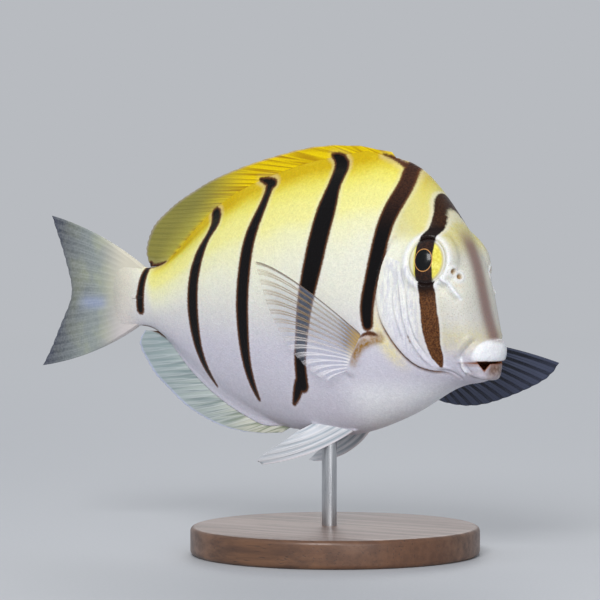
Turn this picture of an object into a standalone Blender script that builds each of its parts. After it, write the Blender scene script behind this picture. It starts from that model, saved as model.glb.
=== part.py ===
"""A convict tang at life size, held over a round display base by one rod.

Every size is in millimetres. A point on the fish is (back, side, up): back from the snout tip, side
towards the fish's left and up from the middle of the tail stalk. place() turns it into metres in the
model's frame: +X is the way the fish faces, +Y its left and +Z up, with the origin under the middle of
the display base.
"""

import math

import bmesh
import bpy
import numpy as np
from mathutils import Matrix, Vector

MM = 0.001
GAP = 0.3  # clearance that touching pieces keep

# Stance
AXIS_HEIGHT = 54.0  # middle of the tail stalk above the floor
BASE_BACK = 43.0  # the base's centre, behind the snout tip
BEND_START, BEND_END, BEND_SIDE = 60.0, 122.0, 4.0  # the tail swings this far to the left

# Body outline in the middle plane, as (back, up)
BACK_LINE = (
    (2.7, -10.6), (3.0, -8.4), (3.9, -5.0), (5.3, -0.6), (6.9, 6.0), (9.0, 12.0), (12.3, 17.4),
    (16.2, 23.1), (20.6, 27.9), (27.0, 30.4), (38.0, 29.7), (50.0, 27.6), (62.0, 24.0), (73.0, 18.8),
    (82.0, 11.9), (89.0, 7.5), (94.5, 6.6), (100.0, 7.4),
)
BELLY_LINE = (
    (2.7, -13.6), (3.2, -14.5), (4.4, -15.4), (6.2, -16.0), (9.0, -16.5), (13.5, -18.0), (20.0, -21.7),
    (28.0, -25.4), (37.0, -28.1), (46.0, -28.5), (56.0, -26.9), (66.0, -23.6), (76.0, -18.2), (84.0, -12.0),
    (90.0, -7.9), (95.0, -6.5), (100.0, -7.2),
)
# Half width, the height of the widest place, and how sharp the back and belly are
HALF_WIDTH = (
    (2.7, 1.7), (3.1, 3.2), (3.9, 4.8), (5.4, 6.4), (8.5, 8.2), (13.5, 9.8), (20.0, 10.5), (30.0, 10.8),
    (42.0, 10.3), (56.0, 8.9), (70.0, 6.6), (82.0, 4.4), (91.0, 3.1), (96.0, 2.4), (100.0, 1.7),
)
WIDEST_UP = (
    (2.7, -12.2), (8.5, -4.0), (14.0, -1.0), (24.0, -3.5), (38.0, -5.5), (55.0, -2.5), (75.0, 0.0),
    (100.0, 0.0),
)
BACK_SHARPNESS = (
    (2.7, 0.9), (10.0, 0.8), (20.0, 1.2), (40.0, 1.35), (70.0, 1.35), (90.0, 1.0), (100.0, 1.0),
)
BELLY_SHARPNESS = (
    (2.7, 1.0), (20.0, 1.0), (38.0, 0.95), (55.0, 1.15), (75.0, 1.3), (90.0, 1.0), (100.0, 1.0),
)
HEAD_STATIONS = (2.7, 3.0, 3.5, 4.2, 5.3, 6.7, 8.4, 10.2, 12.2, 14.5, 17.0, 20.0, 23.0)
TRUNK_STATIONS = (
    26.5, 30.5, 35.0, 40.0, 45.0, 50.0, 55.0, 60.0, 65.0, 70.0, 75.0, 80.0, 84.5, 88.0, 91.0, 94.0,
    97.0, 100.0,
)
AROUND = 32

# Where the head ends: down the nape, round the gill cover and forward under the throat
HEAD_SEAM = (
    (26.0, 36.0), (24.8, 20.0), (23.8, 10.0), (24.6, 4.6), (25.0, 0.0), (24.2, -4.2), (21.4, -8.2),
    (17.4, -11.6), (12.8, -13.7), (10.4, -15.2), (9.4, -22.0),
)
TAIL_SEAM = 91.2
GILL_FRONT = ((12.4, -12.6), (14.2, -8.6), (16.6, -3.4), (18.6, 1.6), (20.4, 5.6), (22.6, 8.2))
GILL_RAISED, GILL_THICK = ((16.0, 0.0), (20.0, 0.25), (24.5, 0.6)), 1.5
JAW_OUTLINE = ((-4.0, -11.9), (5.0, -11.9), (16.0, -15.6), (16.0, -23.0), (-4.0, -23.0))

# Mouth
UPPER_LIP = {"middle": 5.4, "reach": 2.5, "side": 5.1, "front_up": -9.4, "corner_up": -10.5,
             "deep": (1.4, 0.9), "tall": (2.4, 0.5)}
LOWER_LIP = {"middle": 6.3, "reach": 2.6, "side": 3.7, "front_up": -13.7, "corner_up": -13.3,
             "deep": (1.2, 0.9), "tall": (1.8, 0.9)}
MOUTH_PLACE, MOUTH_SIZE = (6.2, 0.0, -12.2), (3.7, 4.8, 0.9)

# Eye
EYE_BACK, EYE_SIDE, EYE_UP = 14.4, 8.3, 9.0
EYE_LONG, EYE_TALL, EYE_THICK = 4.1, 4.9, 2.1  # half sizes
EYE_FORWARD, EYE_UPWARD = math.radians(14.0), math.radians(12.0)  # the way it faces
EYE_RIM = ((-0.1, 0.6), (0.35, 0.85), (0.8, 0.65), (1.4, 0.1))  # (outwards from the eye's edge, raised)
RIM_FOOT, RIM_SUNK = 2.2, (0.3, 2.0)
NOSTRILS = ((8.2, 6.0), (9.1, 7.3))
NOSTRIL_RADIUS, NOSTRIL_DEEP = 0.45, 1.1

# Fins
MEMBRANE, RAY_ROOT, RAY_TIP = 0.5, 1.1, 0.8
DORSAL_SPINES, DORSAL_RAYS, DORSAL_BASE = 9, 22, (26.8, 88.6)
DORSAL_MARGIN = (
    (28.6, 31.9), (35.0, 33.1), (42.6, 33.5), (51.6, 32.7), (58.4, 31.2), (67.5, 28.8), (77.1, 25.3),
    (86.7, 20.2), (91.2, 16.8), (93.6, 13.6), (94.4, 10.6), (93.0, 8.0),
)
DORSAL_LEAN = ((0.0, 0.0), (0.1, 0.19), (0.3, 0.42), (0.5, 0.61), (0.8, 0.86), (0.9, 0.93), (1.0, 1.0))
DORSAL_SPINE_STEP = 2.7
ANAL_SPINES, ANAL_RAYS, ANAL_BASE = 3, 19, (53.5, 89.6)
ANAL_MARGIN = (
    (57.0, -28.7), (61.0, -29.0), (65.3, -29.0), (72.1, -28.0), (79.1, -25.7), (87.6, -20.5), (91.6, -17.2),
    (94.9, -13.4), (96.4, -10.6), (94.8, -8.2),
)
ANAL_LEAN = ((0.0, 0.0), (0.12, 0.19), (0.3, 0.4), (0.6, 0.68), (0.8, 0.84), (0.9, 0.925), (1.0, 1.0))
ANAL_SPINE_STEP = 1.9
CAUDAL_RAYS = 17
CAUDAL_ROOT = ((95.4, 6.9), (99.6, 4.8), (101.4, 0.0), (99.8, -4.6), (96.0, -6.2))
CAUDAL_MARGIN = (
    (123.6, 17.9), (121.2, 12.3), (118.6, 6.0), (117.3, 1.0), (119.5, -4.4), (122.5, -9.8), (126.8, -16.4),
)
CAUDAL_BOW_UP, CAUDAL_BOW_DOWN = 2.9, 3.3
PECTORAL_RAYS = 15
PECTORAL_TOP, PECTORAL_BOTTOM = (28.2, -7.3), (32.4, -13.8)
RIGHT_PECTORAL = {"late": 0.35, "bow": (-1.5, -0.5, 2.9), "tips": (
    (51.4, -18.0, 8.8), (50.4, -17.2, 4.4), (48.9, -16.0, -1.6), (46.8, -14.9, -6.6), (43.8, -13.7, -11.0),
    (40.4, -12.7, -14.4), (36.8, -12.0, -16.2),
)}
LEFT_PECTORAL = {"late": 0.0, "bow": (0.0, 3.4, 2.0), "tips": (
    (5.2, 30.0, -13.3), (7.4, 30.2, -16.0), (10.8, 29.4, -18.2), (17.4, 26.4, -21.4), (23.3, 22.8, -22.8),
    (27.4, 19.0, -22.0), (30.4, 16.0, -20.4),
)}
PELVIC_RAYS = 5
PELVIC_ROOTS = ((35.8, 3.2, -27.0), (39.6, 4.2, -26.5), (45.4, 4.5, -25.8))
RIGHT_PELVIC = {"tips": ((56.6, 7.8, -35.0), (57.6, 8.2, -34.8), (53.4, 7.8, -31.2), (49.0, 6.2, -27.8)),
                "bow": (0.0, 0.0, -2.8)}
LEFT_PELVIC = {"tips": ((53.0, 6.6, -35.0), (54.8, 7.2, -34.9), (52.6, 8.6, -32.6), (48.0, 9.0, -29.4)),
               "bow": (-1.2, 0.6, -3.6)}

# Tail spine and stand
SPINE_BACK, SPINE_LONG, SPINE_TALL, SPINE_PROUD = 95.2, 4.4, 0.9, 0.5
BASE_RADIUS, BASE_THICK, BASE_BEVEL = 31.0, 6.0, 1.0
ROD_BACK, ROD_RADIUS, ROD_SOCKET = 44.5, 1.6, 6.0


def spline(points):
    """A smooth function of the first number of each point: the natural cubic through them."""
    x, y = (np.array(values, float) for values in zip(*points))
    step = np.diff(x)
    size = len(x)
    matrix = np.eye(size)
    wanted = np.zeros(size)
    for i in range(1, size - 1):
        matrix[i, i - 1 : i + 2] = step[i - 1], 2 * (step[i - 1] + step[i]), step[i]
        wanted[i] = 6 * ((y[i + 1] - y[i]) / step[i] - (y[i] - y[i - 1]) / step[i - 1])
    curve = np.linalg.solve(matrix, wanted)

    def value(at):
        i = int(np.clip(np.searchsorted(x, at) - 1, 0, size - 2))
        a, b = (x[i + 1] - at) / step[i], (at - x[i]) / step[i]
        bow = ((a**3 - a) * curve[i] + (b**3 - b) * curve[i + 1]) * step[i] ** 2 / 6
        return float(a * y[i] + b * y[i + 1] + bow)

    return value


def path(points):
    """A smooth function from 0 to 1 along points of any dimension, by length."""
    points = np.array(points, float)
    along = np.concatenate([[0], np.cumsum(np.linalg.norm(np.diff(points, axis=0), axis=1))])
    parts = [spline(list(zip(along / along[-1], column))) for column in points.T]
    return lambda t: np.array([part(t) for part in parts])


back_line, belly_line = spline(BACK_LINE), spline(BELLY_LINE)
half_width, widest_up = spline(HALF_WIDTH), spline(WIDEST_UP)
back_sharpness, belly_sharpness = spline(BACK_SHARPNESS), spline(BELLY_SHARPNESS)


def bend(back):
    """How far the tail's swing moves a point to the left."""
    along = max(0.0, (back - BEND_START) / (BEND_END - BEND_START))
    return BEND_SIDE * along**2


def place(point):
    back, side, up = point
    return Vector((BASE_BACK - back, side + bend(back), AXIS_HEIGHT + up)) * MM


def section(back, angle, swell=0.0):
    """The body's surface at this station: angle 0 is its left side, and a quarter turn its back."""
    swell = swell(back) if callable(swell) else swell
    up, down, middle = back_line(back) + swell, belly_line(back) - swell, widest_up(back)
    if math.sin(angle) > 0:
        high, sharp = up - middle, back_sharpness(back)
    else:
        high, sharp = middle - down, belly_sharpness(back)
    side = math.copysign(abs(math.cos(angle)) ** sharp * (half_width(back) + swell), math.cos(angle))
    return (back, side, middle + high * math.sin(angle))


def skin_side(back, up):
    """Half width of the body at this height."""
    middle = widest_up(back)
    if up > middle:
        high, sharp = back_line(back) - middle, back_sharpness(back)
    else:
        high, sharp = middle - belly_line(back), belly_sharpness(back)
    share = min(1.0, abs(up - middle) / high)
    return half_width(back) * math.sqrt(1 - share**2) ** sharp


def new_object(name, mesh):
    thing = bpy.data.objects.new(name, mesh)
    workshop.objects.link(thing)
    return thing


def mesh_of(name, points, faces):
    mesh = bpy.data.meshes.new(name)
    mesh.from_pydata(points, [], faces)
    mesh.validate()
    return new_object(name, mesh)


def loft(name, rings):
    """A closed solid through rings of placed points, with flat ends."""
    count = len(rings[0])
    points = [point for ring in rings for point in ring]
    faces = []
    for i in range(len(rings) - 1):
        for j in range(count):
            here, after = i * count + j, i * count + (j + 1) % count
            faces.append((here, after, after + count, here + count))
    faces.append(tuple(range(count))[::-1])
    faces.append(tuple(range(len(points) - count, len(points))))
    thing = mesh_of(name, points, faces)
    face_out(thing)
    return thing


def face_out(thing):
    shape = bmesh.new()
    shape.from_mesh(thing.data)
    bmesh.ops.recalc_face_normals(shape, faces=shape.faces)
    shape.to_mesh(thing.data)
    shape.free()


def body(name, stations, swell=0.0):
    """The whole body, or a length of it, swollen or shrunk by swell."""
    turns = [2 * math.pi * (i + 0.5) / AROUND for i in range(AROUND)]
    return loft(name, [[place(section(back, turn, swell)) for turn in turns] for back in stations])


def prism(name, outline, low, high, grow=0.0):
    """An outline of (back, up) points, grown outwards, as a solid from side low to side high."""
    points = np.array(outline, float)
    ahead, behind = np.roll(points, -1, axis=0) - points, points - np.roll(points, 1, axis=0)
    turn = ahead / np.linalg.norm(ahead, axis=1)[:, None] + behind / np.linalg.norm(behind, axis=1)[:, None]
    outward = np.stack([turn[:, 1], -turn[:, 0]], axis=1)
    outward /= np.linalg.norm(outward, axis=1)[:, None]
    area = np.sum(points[:, 0] * np.roll(points[:, 1], -1) - np.roll(points[:, 0], -1) * points[:, 1])
    points += outward * grow * (1 if area > 0 else -1)
    rings = []
    for side in (low, high):
        rings.append([Vector((BASE_BACK - back, side, AXIS_HEIGHT + up)) * MM for back, up in points])
    return loft(name, rings)


def settle(thing):
    """Makes the object's mesh the one that its modifiers give."""
    bpy.context.view_layer.update()
    evaluated = thing.evaluated_get(bpy.context.evaluated_depsgraph_get())
    made = bpy.data.meshes.new_from_object(evaluated)
    thing.modifiers.clear()
    thing.data = made
    return thing


def combine(thing, operation, tools):
    """One Boolean of the object with several closed meshes, which are then removed."""
    group = bpy.data.collections.new("tools")
    bpy.context.scene.collection.children.link(group)
    for tool in tools:
        group.objects.link(tool)
    cut = thing.modifiers.new("cut", "BOOLEAN")
    cut.operation = operation
    cut.operand_type = "COLLECTION"
    cut.collection = group
    cut.solver = "EXACT"
    settle(thing)
    for tool in tools:
        bpy.data.objects.remove(tool)
    bpy.data.collections.remove(group)
    return thing


def copy_of(thing, name):
    return new_object(name, thing.data.copy())


def keep_largest(thing):
    """Leaves only the largest closed surface of the mesh."""
    shape = bmesh.new()
    shape.from_mesh(thing.data)
    left = set(shape.faces)
    islands = []
    while left:
        island, edge = set(), [left.pop()]
        while edge:
            face = edge.pop()
            island.add(face)
            near = {other for side in face.edges for other in side.link_faces} & left
            left -= near
            edge.extend(near)
        islands.append(island)
    largest = max(islands, key=lambda faces: sum(face.calc_area() for face in faces))
    loose = [face for face in shape.faces if face not in largest]
    bmesh.ops.delete(shape, geom=loose, context="FACES")
    shape.to_mesh(thing.data)
    shape.free()
    return thing


def finish(thing, material):
    """Puts a finished piece in the fish's collection, with its material."""
    thing.data.materials.clear()
    thing.data.materials.append(material)
    thing.data.shade_smooth()
    thing.data.set_sharp_from_angle(angle=math.radians(35))
    workshop.objects.unlink(thing)
    pieces.objects.link(thing)


def sheet(name, rays, thickness):
    """A closed sheet over a grid of points, a row for each line, thickness(line, row) mm thick."""
    count, rows = len(rays), len(rays[0])
    points = [place(point) for ray in rays for point in ray]
    faces = []
    for i in range(count - 1):
        for j in range(rows - 1):
            a, b, c, d = i * rows + j, (i + 1) * rows + j, (i + 1) * rows + j + 1, i * rows + j + 1
            faces += [(a, b, c), (a, c, d)] if (i + j) % 2 else [(a, b, d), (b, c, d)]
    thing = mesh_of(name, points, faces)
    thick = [thickness(i, j) for i in range(count) for j in range(rows)]
    group = thing.vertex_groups.new(name="thickness")
    for index, value in enumerate(thick):
        group.add([index], value / max(thick), "REPLACE")
    shell = thing.modifiers.new("shell", "SOLIDIFY")
    shell.thickness = max(thick) * MM
    shell.offset = 0.0
    shell.vertex_group = "thickness"
    settle(thing)
    face_out(thing)
    return thing


def with_membranes(rays, notch=0.25):
    """Puts a membrane line between each two rays, its margin drawn in by notch mm."""
    lines = []
    for ray, following in zip(rays, rays[1:]):
        middle = (ray + following) / 2
        inward = middle[-2] - middle[-1]
        middle[-1] += inward / np.linalg.norm(inward) * notch
        lines += [ray, middle]
    return lines + [rays[-1]]


def grown(rays):
    """The same grid of rays, reaching further by the gap at each of its four edges."""
    rays = np.array(rays)

    def beyond(edge, inner, reach):
        way = edge - inner
        return edge + way / np.linalg.norm(way, axis=-1, keepdims=True) * reach

    first, last = beyond(rays[:, :1], rays[:, 1:2], 1.6 * GAP), beyond(rays[:, -1:], rays[:, -2:-1], GAP)
    rays = np.concatenate([first, rays, last], axis=1)
    first, last = beyond(rays[:1], rays[1:2], 1.6 * GAP), beyond(rays[-1:], rays[-2:-1], 1.6 * GAP)
    return np.concatenate([first, rays, last])


def fin(name, rays, material, root=RAY_ROOT, solid_rows=1):
    """A fin whose rays stand as ridges on its membrane, and the room it needs in what it grows from."""
    lines = with_membranes(rays)
    last = len(rays[0]) - 1

    def thick(line, row):
        ray = root + (RAY_TIP - root) * row / last
        return ray if line % 2 == 0 or row <= solid_rows else MEMBRANE

    def room_thick(line, row):
        return root + (RAY_TIP - root) * max(0, row - 1) / last + 2 * GAP

    made = sheet(name, lines, thick)
    room = sheet(name + "_room", grown(rays), room_thick)
    finish(made, material)
    return room


def curved_rays(roots, tips, bows, rows, sink):
    """Rays from roots to tips, each bent by its bow, with one more point sink mm inside the body."""
    rays = []
    for root, tip, bow in zip(roots, tips, bows):
        middle = root + (tip - root) * 0.45 + bow
        inside = root - (middle - root) / np.linalg.norm(middle - root) * sink
        steps = [row / rows for row in range(rows + 1)]
        curve = [(1 - t) ** 2 * root + 2 * t * (1 - t) * middle + t**2 * tip for t in steps]
        rays.append(np.array([inside] + curve))
    return rays


def median_fin(name, material, line, base, spines, spine_step, soft, margin, lean):
    """A fin along the back or belly. Its spines and rays lean back to their tips along the margin."""
    edge, fraction = path(margin), spline(lean)
    first_soft = base[0] + spines * spine_step
    backs = [base[0] + i * spine_step for i in range(spines)]
    backs += [first_soft + (base[1] - first_soft) * i / (soft - 1) for i in range(soft)]
    roots, tips = [], []
    for back in backs:
        tip_back, tip_up = edge(fraction((back - base[0]) / (base[1] - base[0])))
        roots.append(np.array((back, 0.0, line(back) - math.copysign(0.6, line(back)))))
        tips.append(np.array((tip_back, 0.0, tip_up)))
    return fin(name, curved_rays(roots, tips, [np.zeros(3)] * len(roots), 5, 1.6), material)


def caudal_fin(material):
    roots, margin = path(CAUDAL_ROOT), path(CAUDAL_MARGIN)
    starts, ends, bows = [], [], []
    for i in range(CAUDAL_RAYS):
        share = i / (CAUDAL_RAYS - 1)
        height = 1 - 2 * share
        bow = CAUDAL_BOW_UP if height > 0 else CAUDAL_BOW_DOWN
        for edge, points in ((roots(share), starts), (margin(share), ends)):
            points.append(np.array((edge[0], 0.0, edge[1])))
        bows.append(np.array((0.0, 0.0, bow * height * abs(height))))
    return fin("caudal_fin", curved_rays(starts, ends, bows, 6, 1.6), material)


def pectoral_fin(name, side, shape, material):
    """A fan from a slanted root on the flank, each ray leaving outwards and then bending to its tip."""
    tips = path(shape["tips"])
    roots, ends, bows = [], [], []
    for i in range(PECTORAL_RAYS):
        share = i / (PECTORAL_RAYS - 1)
        back, up = np.array(PECTORAL_TOP) + (np.array(PECTORAL_BOTTOM) - np.array(PECTORAL_TOP)) * share
        roots.append(np.array((back, side * (skin_side(back, up) - 0.4), up)))
        ends.append(tips(share))
        bows.append((ends[-1] - roots[-1]) * shape["late"] + np.array(shape["bow"]) * (1 - 0.6 * share))
    return fin(name, curved_rays(roots, ends, bows, 7, 1.4), material, root=1.3)


def pelvic_fin(name, side, shape, material):
    """One spine and its soft rays, from the belly back, down and out."""
    flip = np.array((1.0, side, 1.0))
    roots, tips = path(PELVIC_ROOTS), path(shape["tips"])
    shares = [i / PELVIC_RAYS for i in range(PELVIC_RAYS + 1)]
    starts, ends = ([edge(share) * flip for share in shares] for edge in (roots, tips))
    bows = [np.array(shape["bow"]) * (1 - share) for share in shares]
    return fin(name, curved_rays(starts, ends, bows, 5, 1.2), material, root=1.2)


def ellipsoid(name, centre, sizes, turn=0.0, segments=20, rings=10):
    """A ball stretched to three half sizes, turned about the vertical."""
    shape = bmesh.new()
    bmesh.ops.create_uvsphere(shape, u_segments=segments, v_segments=rings, radius=1.0)
    stretch = Matrix.Diagonal((sizes[0] * MM, sizes[1] * MM, sizes[2] * MM, 1.0))
    shape.transform(Matrix.Translation(place(centre)) @ Matrix.Rotation(turn, 4, "Z") @ stretch)
    mesh = bpy.data.meshes.new(name)
    shape.to_mesh(mesh)
    shape.free()
    return new_object(name, mesh)


def eye_frame(side):
    """The eye's own axes, with -Y out of the right eye and +Y out of the left one, and its centre."""
    turn = Matrix.Rotation(-side * EYE_FORWARD, 4, "Z") @ Matrix.Rotation(side * EYE_UPWARD, 4, "X")
    return Matrix.Translation(place((EYE_BACK, side * EYE_SIDE, EYE_UP))) @ turn


def eye(name, side, grow=0.0):
    """The eyeball, a flat ball with a pole at the middle of its lens."""
    shape = bmesh.new()
    bmesh.ops.create_uvsphere(shape, u_segments=22, v_segments=10, radius=1.0)
    sizes = [(size + grow) * MM for size in (EYE_LONG, EYE_THICK, EYE_TALL)]
    shape.transform(eye_frame(side) @ Matrix.Diagonal((*sizes, 1.0)) @ Matrix.Rotation(math.pi / 2, 4, "X"))
    mesh = bpy.data.meshes.new(name)
    shape.to_mesh(mesh)
    shape.free()
    return new_object(name, mesh)


def eye_rim(side):
    """The fold of skin round the eye, which slopes down into the cheek."""
    rings = []
    for i in range(24):
        angle = 2 * math.pi * i / 24
        ring = []
        for out, raised in EYE_RIM:
            long, tall = (EYE_LONG + out) * math.cos(angle), (EYE_TALL + out) * math.sin(angle)
            ring.append(eye_frame(side) @ (Vector((long, side * raised, tall)) * MM))
        for sunk in RIM_SUNK:
            back = EYE_BACK - (EYE_LONG + RIM_FOOT) * math.cos(angle)
            up = EYE_UP + (EYE_TALL + RIM_FOOT) * math.sin(angle)
            ring.append(place((back, side * (skin_side(back, up) - sunk), up)))
        long, tall = (EYE_LONG - 0.1) * math.cos(angle), (EYE_TALL - 0.1) * math.sin(angle)
        inner = Vector((long, -side * 2.0, tall))
        ring.append(eye_frame(side) @ (inner * MM))
        rings.append(ring)
    return closed_ring("rim", rings)


def closed_ring(name, rings):
    """A closed solid through rings whose last meets the first."""
    count, size = len(rings), len(rings[0])
    points = [point for ring in rings for point in ring]
    faces = []
    for i in range(count):
        for j in range(size):
            after, turn = (i + 1) % count, (j + 1) % size
            faces.append((i * size + j, i * size + turn, after * size + turn, after * size + j))
    thing = mesh_of(name, points, faces)
    face_out(thing)
    return thing


def lip(name, shape):
    """A roll of skin round the mouth from corner to corner, thickest in front."""
    rings = []
    for i in range(17):
        angle = math.radians(-100 + 200 * i / 16)
        near = abs(i - 8) / 8
        front = math.cos(near * math.pi / 2) ** 0.8 if near < 1 else 0.0
        deep, tall = (shape[key][1] + (shape[key][0] - shape[key][1]) * front for key in ("deep", "tall"))
        up = shape["corner_up"] + (shape["front_up"] - shape["corner_up"]) * front
        ring = []
        for j in range(10):
            turn = 2 * math.pi * j / 10
            reach = shape["reach"] + deep * math.cos(turn)
            side = shape["side"] + deep * 0.8 * math.cos(turn)
            back = shape["middle"] - reach * math.cos(angle)
            ring.append(place((back, side * math.sin(angle), up + tall * math.sin(turn))))
        rings.append(ring)
    return loft(name, rings)


def cylinder(name, radius, start, end, sides):
    """A round bar between two placed points."""
    shape = bmesh.new()
    along = end - start
    bmesh.ops.create_cone(
        shape, cap_ends=True, segments=sides, radius1=radius * MM, radius2=radius * MM, depth=along.length)
    turn = along.to_track_quat("Z", "Y").to_matrix().to_4x4()
    shape.transform(Matrix.Translation((start + end) / 2) @ turn)
    mesh = bpy.data.meshes.new(name)
    shape.to_mesh(mesh)
    shape.free()
    return new_object(name, mesh)


def nostril(side, back, up):
    at = Vector(place((back, side * skin_side(back, up), up)))
    way = Vector((1.0, side * 1.2, 0.25)).normalized()
    return cylinder("nostril", NOSTRIL_RADIUS, at + way * MM, at - way * NOSTRIL_DEEP * MM, 10)


def seam_outline():
    """The seam's points, smoothed, closed by two corners in front of the fish."""
    seam = path(HEAD_SEAM)
    return [tuple(seam(i / 22)) for i in range(23)] + [(-8.0, -22.0), (-8.0, 34.0)]


def gill_outline():
    """The gill cover: back along the seam, forward along the cheek."""
    seam, front = path(HEAD_SEAM), path(GILL_FRONT)
    rear = [tuple(seam(i / 22)) for i in range(9, 19)]
    return rear + [tuple(front(i / 8)) for i in range(9)]


def gill_cover(name, side, inner, outer, grow):
    """A plate over the gills: the skin from inner to outer mm off the body, within its outline."""
    stations = HEAD_STATIONS[6:] + TRUNK_STATIONS[:2]
    plate = body(name, stations, outer)
    low, high = sorted((side * 2.0, side * 20.0))
    combine(plate, "INTERSECT", [prism("outline", gill_outline(), low, high, grow)])
    combine(plate, "DIFFERENCE", [body("inside", HEAD_STATIONS[5:] + TRUNK_STATIONS[:3], inner)])
    return keep_largest(plate)


def make_head(whole, skin):
    """The head, its lower jaw and its two gill covers, from the front of the body."""
    combine(whole, "UNION", [lip("upper", UPPER_LIP), lip("lower", LOWER_LIP), eye_rim(1), eye_rim(-1)])
    cuts = [ellipsoid("mouth", MOUTH_PLACE, MOUTH_SIZE, segments=20, rings=8)]
    cuts += [eye("socket", side, GAP) for side in (1, -1)]
    cuts += [nostril(side, back, up) for side in (1, -1) for back, up in NOSTRILS]
    combine(whole, "DIFFERENCE", cuts)
    jaw = copy_of(whole, "lower_jaw")
    combine(jaw, "INTERSECT", [prism("jaw", JAW_OUTLINE, -20, 20)])
    finish(keep_largest(jaw), skin)
    combine(whole, "DIFFERENCE", [prism("jaw", JAW_OUTLINE, -20, 20, GAP)])
    for name, side in (("gill_cover_left", 1), ("gill_cover_right", -1)):
        finish(gill_cover(name, side, -GILL_THICK, spline(GILL_RAISED), -GAP / 2), skin)
        combine(whole, "DIFFERENCE", [gill_cover("pocket", side, -GILL_THICK - GAP, 2.0, GAP / 2)])
    finish(keep_largest(whole), skin)


def make_body(skin, rooms):
    """Head, torso and tail stalk, parted from one body by thin cuts, with the room that the fins need."""
    whole = body("head", HEAD_STATIONS + TRUNK_STATIONS)
    torso, tail = copy_of(whole, "torso"), copy_of(whole, "tail_stalk")
    combine(whole, "INTERSECT", [prism("front", seam_outline(), -20, 20)])
    make_head(whole, skin)
    ends = ((TAIL_SEAM, 40.0), (TAIL_SEAM, -40.0), (120.0, -40.0), (120.0, 40.0))
    combine(tail, "INTERSECT", [prism("end", ends, -20, 20)])
    rod_room = cylinder("rod_room", ROD_RADIUS + GAP, rod_point(2.0), rod_point(rod_top()), 20)
    neighbours = [prism("front", seam_outline(), -20, 20, GAP), prism("end", ends, -20, 20, GAP)]
    combine(torso, "DIFFERENCE", neighbours)
    combine(torso, "DIFFERENCE", [copy_of(room, "room") for room in rooms] + [rod_room])
    combine(tail, "DIFFERENCE", rooms)
    combine(tail, "DIFFERENCE", [tail_spine("room", side, GAP) for side in (1, -1)])
    finish(keep_largest(torso), skin)
    finish(keep_largest(tail), skin)


def rod_point(above):
    """A point on the rod's axis, above the base's top."""
    return Vector(((BASE_BACK - ROD_BACK) * MM, 0.0, (BASE_THICK + above) * MM))


def rod_top():
    """The end of the rod's socket in the belly, above the base's top."""
    return AXIS_HEIGHT + belly_line(ROD_BACK) - BASE_THICK + ROD_SOCKET


def tail_spine(name, side, grow=0.0):
    """The small blade at the side of the tail stalk, folded forward with its point to the head."""
    rings = []
    for i in range(7):
        share = i / 6
        back = SPINE_BACK - SPINE_LONG / 2 + SPINE_LONG * share + (share - 0.5) * 2 * grow
        tall = (0.12 + SPINE_TALL / 2 * math.sin(math.pi * min(1.0, share * 0.62 + 0.12))) + grow
        flank = half_width(back)
        ring = []
        for j in range(8):
            turn = 2 * math.pi * (j + 0.5) / 8
            side_of = flank + SPINE_PROUD * 0.2 + (0.75 + grow) * math.cos(turn)
            ring.append(place((back, side * side_of, tall * math.sin(turn))))
        rings.append(ring)
    return loft(name, rings)


def make_stand(wood, steel):
    """A round base with a softened edge, and a rod into the belly."""
    base = cylinder("stand_base", BASE_RADIUS, Vector((0, 0, 0)), Vector((0, 0, BASE_THICK * MM)), 48)
    edge = base.modifiers.new("edge", "BEVEL")
    edge.width = BASE_BEVEL * MM
    edge.segments = 2
    edge.limit_method = "ANGLE"
    settle(base)
    combine(base, "DIFFERENCE", [cylinder("socket", ROD_RADIUS + GAP, rod_point(-3.0), rod_point(2.0), 20)])
    finish(base, wood)
    rod = cylinder("stand_rod", ROD_RADIUS, rod_point(-3.0 + GAP), rod_point(rod_top() - GAP), 20)
    finish(rod, steel)


def material(name, colour, roughness, metallic=0.0):
    made = bpy.data.materials.new(name)
    made.use_nodes = True
    shader = made.node_tree.nodes["Principled BSDF"]
    shader.inputs["Base Color"].default_value = (*colour, 1.0)
    shader.inputs["Roughness"].default_value = roughness
    shader.inputs["Metallic"].default_value = metallic
    made.diffuse_color = (*colour, 1.0)
    return made


def main():
    skin = material("fish_skin", (0.86, 0.84, 0.62), 0.4)
    yellow = material("yellow_fin", (0.78, 0.66, 0.06), 0.45)
    clear = material("clear_fin", (0.72, 0.76, 0.76), 0.4)
    dark = material("eye", (0.05, 0.04, 0.03), 0.15)
    wood = material("walnut", (0.16, 0.09, 0.05), 0.45)
    steel = material("steel", (0.62, 0.62, 0.63), 0.3, 1.0)
    rooms = [
        median_fin("dorsal_fin", yellow, back_line, DORSAL_BASE, DORSAL_SPINES, DORSAL_SPINE_STEP,
                   DORSAL_RAYS, DORSAL_MARGIN, DORSAL_LEAN),
        median_fin("anal_fin", clear, belly_line, ANAL_BASE, ANAL_SPINES, ANAL_SPINE_STEP,
                   ANAL_RAYS, ANAL_MARGIN, ANAL_LEAN),
        caudal_fin(clear),
        pectoral_fin("pectoral_fin_right", -1, RIGHT_PECTORAL, clear),
        pectoral_fin("pectoral_fin_left", 1, LEFT_PECTORAL, clear),
        pelvic_fin("pelvic_fin_right", -1, RIGHT_PELVIC, clear),
        pelvic_fin("pelvic_fin_left", 1, LEFT_PELVIC, clear),
    ]
    make_body(skin, rooms)
    for name, side in (("left", 1), ("right", -1)):
        finish(eye("eye_" + name, side), dark)
        finish(tail_spine("tail_spine_" + name, side), skin)
    make_stand(wood, steel)


for old in list(bpy.data.objects):
    bpy.data.objects.remove(old)
pieces = bpy.data.collections.new("convict_tang")
workshop = bpy.data.collections.new("workshop")
bpy.context.scene.collection.children.link(pieces)
bpy.context.scene.collection.children.link(workshop)
main()
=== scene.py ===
import math

import bmesh
import bpy
import numpy as np
from mathutils import Matrix, Vector


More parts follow.
